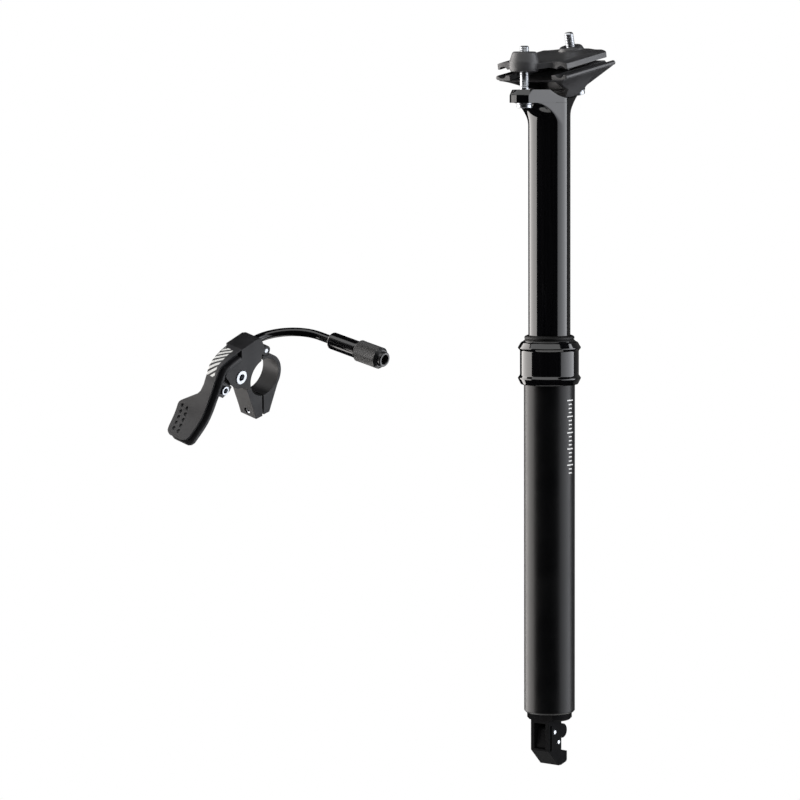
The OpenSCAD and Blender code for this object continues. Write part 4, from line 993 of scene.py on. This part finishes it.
def lever_layer(first, last, depth_from, depth_to, near_step=0.0, far_step=0.0, ease_r=LAYER_EASE,
                printed=False):
    """One layer of the lever: a rounded rectangle of the lever's width and the layer's depth, carried along
    the thumb face and closed at both ends. Its map is length and width on the thumb side, and off the
    print elsewhere."""
    line, out, length = (part[first:last] for part in thumb_line())
    near = np.interp(line[:, 1], *np.transpose(NEAR_EDGE)) + near_step
    far = np.interp(line[:, 1], *np.transpose(FAR_EDGE)) + far_step
    side = ring_of(1, 1, 0)
    ease = ring_of(0, 0, ease_r)
    width = ((near + far) / 2)[:, None] + side[:, 0] * ((near - far) / 2)[:, None] + ease[:, 0]
    depth = (depth_from + depth_to) / 2 - side[:, 1] * (depth_to - depth_from) / 2 - ease[:, 1]
    place = line[:, None] - out[:, None] * depth[None, :, None]
    points = np.stack([place[..., 0], width, place[..., 1]], -1)
    print_side = np.broadcast_to((side[:, 1] > 0) & printed, width.shape)
    run = np.broadcast_to(length[:, None], width.shape)
    uv = np.stack([run, np.where(print_side, width, width + OFF_PRINT * side[:, 0])], -1) / MAP_MM
    return on_bar(grid(capped(points), uv=np.concatenate([uv[:1], uv, uv[-1:]])))


def paddle_dimples():
    """Two rows of round dimples along the paddle's thumb face, each a lathe shape square to the face."""
    line, out, length = thumb_line()
    dish = turned(DIMPLE, 24, closed=False)
    shells = []
    for first, width in DIMPLE_STARTS:
        run = first + DIMPLE_PITCH * np.arange(DIMPLE_ROWS)
        x, z, lean_x, lean_z = (np.interp(run, length, values) for values in (*line.T, *out.T))
        for row in range(DIMPLE_ROWS):
            tilt = turn_y(math.degrees(math.atan2(lean_x[row], lean_z[row])))
            shells.append(on_bar(moved(dish, tilt, (x[row], width + DIMPLE_DRIFT * row, z[row]))))
    return shells


def make_thumb_lever():
    """The lever: a printed thumb layer, grooved sides, a flange under it, and a web with the hub."""
    rows = len(thumb_line()[0])
    lever = piece("thumb_lever_forging", [lever_layer(0, rows, 0, LAYER_T, printed=True)])
    turn = np.radians(np.linspace(*WEB_ARC, 16))
    arc = BACK_AT + WEB_R * np.stack([np.cos(turn), np.sin(turn)], -1)
    web = np.concatenate([[PIVOT_AT], arc, SCREW_AT + WEB_FOOT])
    flange_from = LAYER_T + GROOVE_T
    groove = lever_layer(GROOVE_SKIP, rows - GROOVE_SKIP, LAYER_T - LAYER_LAP, flange_from + LAYER_LAP,
                         -GROOVE_IN, GROOVE_IN, GROOVE_EASE)
    flange = lever_layer(FLANGE_SKIP, rows, flange_from, flange_from + FLANGE_T, FLANGE_OUT, FLANGE_IN,
                         FLANGE_EASE)
    settle(lever,
           join=[groove, flange, on_bar(plate(web, *WEB_Y)), across_bar(rod(HUB_R, *WEB_Y), PIVOT_AT)],
           carve=[across_bar(rod(HUB_BORE_R, -CLAMP_W, 0), PIVOT_AT),
                  across_bar(rod(SCREW_R, -CLAMP_W, 0), SCREW_AT), *paddle_dimples()])
    dress(lever, "thumb_lever", "machined_black", ["thumb_lever"], "printed_lever")


# Cable noodle, ferrule and barrel adjuster
NOODLE_AT = np.array([2.0, -6.0, 21.5])
NOODLE_TILT = 3.0
NOODLE_TUBE_R = 2.4
NOODLE_BEND_R = 25.0
NOODLE_LEAD = 2.0
NOODLE_RUN = 9.0
NOODLE_SEAT = 6.0
NOODLE_STEPS = 40
FERRULE_R = 4.8
FERRULE_L = 20.4
FERRULE_BORE_R = NOODLE_TUBE_R + 0.02
FERRULE_STOP = 0.4
FERRULE_EASE = 0.35
CABLE_R = 1.2
ADJUSTER_GAP = 0.3
ADJUSTER_R = 6.25
ADJUSTER_L = 16.8
ADJUSTER_FLATS = 8
ADJUSTER_FLAT_TURN = 0.2
ADJUSTER_FLAT_SHARE = 0.6
ADJUSTER_LINES = 48
ADJUSTER_LINE_CUT = 0.03
ADJUSTER_SHARP_DEG = 20.0
NOZZLE_R = 4.2
NOZZLE_L = 2.2
HOUSING_R = 2.6


def on_ferrule(shell):
    """Lays a shell that was made along Z along the noodle's straight end, from the ferrule's start."""
    turn = turn_x(NOODLE_TILT)
    start = np.array([-NOODLE_LEAD - NOODLE_BEND_R, NOODLE_BEND_R + NOODLE_RUN, 0])
    return on_bar(moved(shell, turn @ turn_x(-90), NOODLE_AT + turn @ start))


def make_noodle():
    """A circle carried along a straight lead, a quarter turn and a straight run, from block to ferrule."""
    turn = np.linspace(0, np.pi / 2, NOODLE_STEPS)
    lead = np.array([[NOODLE_SEAT, 0], [1, 0]])
    bend = np.stack([-NOODLE_LEAD - NOODLE_BEND_R * np.sin(turn), NOODLE_BEND_R * (1 - np.cos(turn))], -1)
    run = bend[-1:] + (0, NOODLE_RUN)
    line = np.concatenate([lead, bend, run])
    angle = np.linspace(0, 2 * np.pi, NOODLE_STEPS, endpoint=False)
    reach = NOODLE_TUBE_R * np.cos(angle)
    flat = line[:, None] + left_normals(line)[:, None] * reach[None, :, None]
    height = np.broadcast_to(NOODLE_TUBE_R * np.sin(angle), flat.shape[:2])
    points = np.concatenate([flat, height[..., None]], -1)
    shell = moved(grid(capped(points)), turn_x(NOODLE_TILT), NOODLE_AT)
    noodle = piece("cable_noodle_tube", [on_bar(shell)])
    dress(noodle, "outer_post", "black_steel_tube", ["cable_noodle"])


def make_ferrule():
    """A turned sleeve over the noodle's end, eased at both rims."""
    profile = [(FERRULE_BORE_R, 0), (FERRULE_R - 0.9, 0), (FERRULE_R, 0.9), (FERRULE_R, FERRULE_L - 0.5),
               (FERRULE_R - 0.5, FERRULE_L), (CABLE_R, FERRULE_L), (CABLE_R, FERRULE_STOP),
               (FERRULE_BORE_R, FERRULE_STOP)]
    ferrule = piece("noodle_ferrule_sleeve", [on_ferrule(turned(rounded(profile, FERRULE_EASE), 96))])
    dress(ferrule, "outer_post", "black_steel_tube", ["noodle_ferrule"])


def make_adjuster():
    """The barrel adjuster, a lathe shape: broad flats with fine grip lines, a chamfered end and a hollow
    nozzle for the housing."""
    start = FERRULE_L + ADJUSTER_GAP
    end = start + ADJUSTER_L
    rim = ADJUSTER_R

    def grip(angle, height):
        """Shallow flats and fine cosine lines, between the two chamfers only."""
        half_flat = np.pi / ADJUSTER_FLATS
        flat = np.cos(half_flat) / np.cos((angle + ADJUSTER_FLAT_TURN) % (2 * half_flat) - half_flat)
        line = 1 - ADJUSTER_LINE_CUT * (0.5 + 0.5 * np.cos(ADJUSTER_LINES * angle))
        inside = (height > start + 0.9) & (height < end - 1.4)
        return np.where(inside, (ADJUSTER_FLAT_SHARE * flat + (1 - ADJUSTER_FLAT_SHARE)) * line, 1)

    rows = np.linspace(start + 1.0, end - 1.5, 12)
    barrel = np.stack([np.full_like(rows, rim), rows], -1)
    near_end = [(HOUSING_R, start), (rim - 1.2, start), (rim - 0.5, start + 0.35), (rim - 0.2, start + 0.8)]
    far_end = [(rim - 0.25, end - 1.3), (rim - 1.5, end), (NOZZLE_R + 0.1, end), (NOZZLE_R, end + 0.3),
               (NOZZLE_R, end + NOZZLE_L - 0.5), (NOZZLE_R - 0.4, end + NOZZLE_L),
               (HOUSING_R + 0.3, end + NOZZLE_L), (HOUSING_R, end + NOZZLE_L - 0.4)]
    shell = on_ferrule(turned(np.concatenate([near_end, barrel, far_end]), 384, ripple=grip))
    adjuster = piece("barrel_adjuster_knurled", [shell], ADJUSTER_SHARP_DEG)
    dress(adjuster, "barrel_adjuster", "machined_black", ["barrel_adjuster"], "knurled_black")


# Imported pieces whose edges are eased: node, body, width of the bevel, and a finish other than the slot's
EASED = (("remote_body", "outer_post", 0.35, None), ("remote_clamp_cap", "outer_post", 0.35, None),
         ("actuator_bracket", "outer_post", 0.5, None), ("actuator_lever", "actuator_lever", 0.2, None),
         ("remote_pivot_bolt", "outer_post", 0.2, None), ("bottom_plug", "outer_post", 0.2, "cast_grey"))
EASED_MERGE_M = 1e-7
FLAT_DEG = 1.0


def make_eased(node, body, width, finish_name):
    """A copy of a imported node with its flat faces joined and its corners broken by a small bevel."""
    mesh = nodes[node].data.copy()
    work = bmesh.new()
    work.from_mesh(mesh)
    bmesh.ops.remove_doubles(work, verts=work.verts, dist=EASED_MERGE_M)
    bmesh.ops.dissolve_limit(work, angle_limit=math.radians(FLAT_DEG), verts=work.verts, edges=work.edges)
    work.to_mesh(mesh)
    work.free()
    mesh.shade_smooth()
    mesh.set_sharp_from_angle(angle=math.radians(SHARP_DEG))
    eased = new_object(node + "_eased", mesh)
    bevel = eased.modifiers.new("eased_edges", "BEVEL")
    bevel.width = width * MM
    bevel.segments = 2
    bevel.limit_method = "ANGLE"
    bevel.angle_limit = math.radians(SHARP_DEG)
    bevel.harden_normals = True
    dress(eased, body, slot_of[node], [node], finish_name)


# Studio: white behind everything, softboxes at both sides and above, black cards for a deep gloss
FLOOR_DROP = 120.0
FLOOR_R = 200.0
FLOOR_PAINT = "#e8e8e6"
FLOOR_FILL = 0.6
CEILING_Z = 1700.0
CEILING_R = 2600.0
ALL_ROUND = (-180.0, 180.0)
LEFT_BOX = (-138.0, -73.0)
LEFT_LIGHT = (5.6, 5.6)
RIGHT_BOX = (46.0, 110.0)
RIGHT_LIGHT = (1.7, 5.6)
GREY_CARD = (114.0, 160.0)
GREY_LIGHT = (0.15, 0.15)
TOP_BOX = (-95.0, 54.0)
TOP_BOX_Z = CEILING_Z - 20.0
TOP_BOX_REACH = (500.0, 2000.0)
TOP_LIGHT = (2.2, 2.2)
BOX_R = 1500.0
BOX_HEIGHTS = (-900.0, 1190.0)
CARD_R = 2700.0
CARD_HEIGHTS = (-2500.0, 1700.0)
CARD_COLUMNS = 48
RING_COLUMNS = 97
FELT_BLACK = "#080808"
WARM = "#fffbf8"
COOL = "#f8faff"
PLAIN = "#ffffff"
ROOM_LIGHT = 0.7


def seen_directly(tree):
    """1 for rays from the camera and rays mirrored or passed on from it, 0 for light that is scattered."""
    rays = add_node(tree, "ShaderNodeLightPath").outputs
    passed_on = {0: rays["Is Glossy Ray"], 1: rays["Is Transmission Ray"]}
    mirrored = add_node(tree, MATHS, passed_on, operation="MAXIMUM")
    return add_node(tree, MATHS, {0: rays["Is Camera Ray"], 1: mirrored}, operation="MAXIMUM")


def make_world():
    """White where it is looked at, a plain soft light otherwise."""
    world = bpy.data.worlds.new("studio")
    bpy.context.scene.world = world
    world.use_nodes = True
    tree = world.node_tree
    tree.nodes.clear()
    output = add_node(tree, "ShaderNodeOutputWorld")
    room = add_node(tree, "ShaderNodeBackground", {"Color": linear(PLAIN), "Strength": ROOM_LIGHT})
    white = add_node(tree, "ShaderNodeBackground", {"Color": linear(PLAIN), "Strength": 1.0})
    mix = add_node(tree, "ShaderNodeMixShader", {0: seen_directly(tree), 1: room, 2: white})
    tree.links.new(mix.outputs[0], output.inputs["Surface"])


def studio_card(name, bearings, heights, radii, material, columns=CARD_COLUMNS):
    """A sheet round the post's axis, between two bearings from the camera's own, from one height and
    radius to another. A height or radius that is one number stays the same: the sheet is then level, or
    upright. Its map runs from 0 to 1 along the bearings."""
    bearing = np.radians(np.linspace(*bearings, columns) + CAMERA_BEARING)[None, :]
    height = np.broadcast_to(np.asarray(heights, float), 2)[:, None]
    radius = np.broadcast_to(np.asarray(radii, float), 2)[:, None]
    points = np.stack(np.broadcast_arrays(radius * np.cos(bearing), radius * np.sin(bearing), height), -1)
    share = np.stack(np.broadcast_arrays(np.linspace(0, 1, columns)[None, :], np.array([[0.0], [1.0]])), -1)
    card = piece(name, [grid(points, wrap_columns=False, uv=share)])
    paint(card, material)
    card.visible_camera = False
    return card


def softbox_light(name, strengths, tint=PLAIN):
    """Light that grows evenly from one edge of a card to the other, along its map."""
    material, tree, output = new_material(name)
    where = add_node(tree, "ShaderNodeTexCoord")
    across = add_node(tree, "ShaderNodeSeparateXYZ", {"Vector": where.outputs["UV"]})
    strength = add_node(tree, "ShaderNodeMapRange", {
        "Value": across.outputs["X"], "To Min": strengths[0], "To Max": strengths[1]})
    glow = {"Color": linear(tint), "Strength": strength.outputs["Result"]}
    light = add_node(tree, "ShaderNodeEmission", glow)
    tree.links.new(light.outputs[0], output.inputs["Surface"])
    return material


def black_felt():
    """Dull black cloth on cards, which gives the gloss something dark to mirror."""
    material, tree, output = new_material("black_card")
    felt = add_node(tree, "ShaderNodeBsdfDiffuse", {"Color": linear(FELT_BLACK)})
    tree.links.new(felt.outputs[0], output.inputs["Surface"])
    return material


def pale_floor():
    """Matt white paint, lifted towards white where it is looked at."""
    material, tree, output = new_material("pale_floor")
    coat = add_node(tree, "ShaderNodeBsdfDiffuse", {"Color": linear(FLOOR_PAINT)})
    lift = add_node(tree, MATHS, {0: seen_directly(tree), 1: FLOOR_FILL}, operation="MULTIPLY")
    fill = add_node(tree, "ShaderNodeEmission", {"Color": linear(PLAIN), "Strength": lift})
    both = add_node(tree, "ShaderNodeAddShader", {0: coat, 1: fill})
    tree.links.new(both.outputs[0], output.inputs["Surface"])
    return material


def make_studio():
    """World, softboxes, black cards and floor."""
    make_world()
    for name, bearings, strengths, tint in (("softbox_left", LEFT_BOX, LEFT_LIGHT, WARM),
                                            ("softbox_right", RIGHT_BOX, RIGHT_LIGHT, COOL),
                                            ("grey_card", GREY_CARD, GREY_LIGHT, PLAIN)):
        studio_card(name, bearings, BOX_HEIGHTS, BOX_R, softbox_light(name, strengths, tint))
    top_light = softbox_light("softbox_top", TOP_LIGHT)
    studio_card("softbox_top", TOP_BOX, TOP_BOX_Z, TOP_BOX_REACH, top_light, RING_COLUMNS)
    black = black_felt()
    wall = studio_card("black_card", ALL_ROUND, CARD_HEIGHTS, CARD_R, black)
    ground = studio_card("black_ground", ALL_ROUND, CARD_HEIGHTS[0], (0, CARD_R), black, RING_COLUMNS)
    wall.visible_diffuse = False
    ground.visible_diffuse = False
    studio_card("ceiling", ALL_ROUND, CEILING_Z, (0, CEILING_R), black, RING_COLUMNS)
    floor_z = cad_low[2] / MM - FLOOR_DROP
    floor = studio_card("floor", ALL_ROUND, floor_z, (0, FLOOR_R), pale_floor(), RING_COLUMNS)
    floor.visible_camera = True


# Making of the scene
place_camera()
make_studio()
bpy.context.scene.view_settings.view_transform = "Standard"
finishes = make_finishes()
slot_of = {row["node"]: row["material_slot"] for row in frame["record"]["subparts"]}
for node, slot in slot_of.items():
    paint(nodes[node], finishes[slot])
make_outer_tube()
make_collar()
make_seal()
make_stanchion()
make_bolts()
make_yoke()
make_cradle()
make_thumb_lever()
make_noodle()
make_ferrule()
make_adjuster()
for row in EASED:
    make_eased(*row)
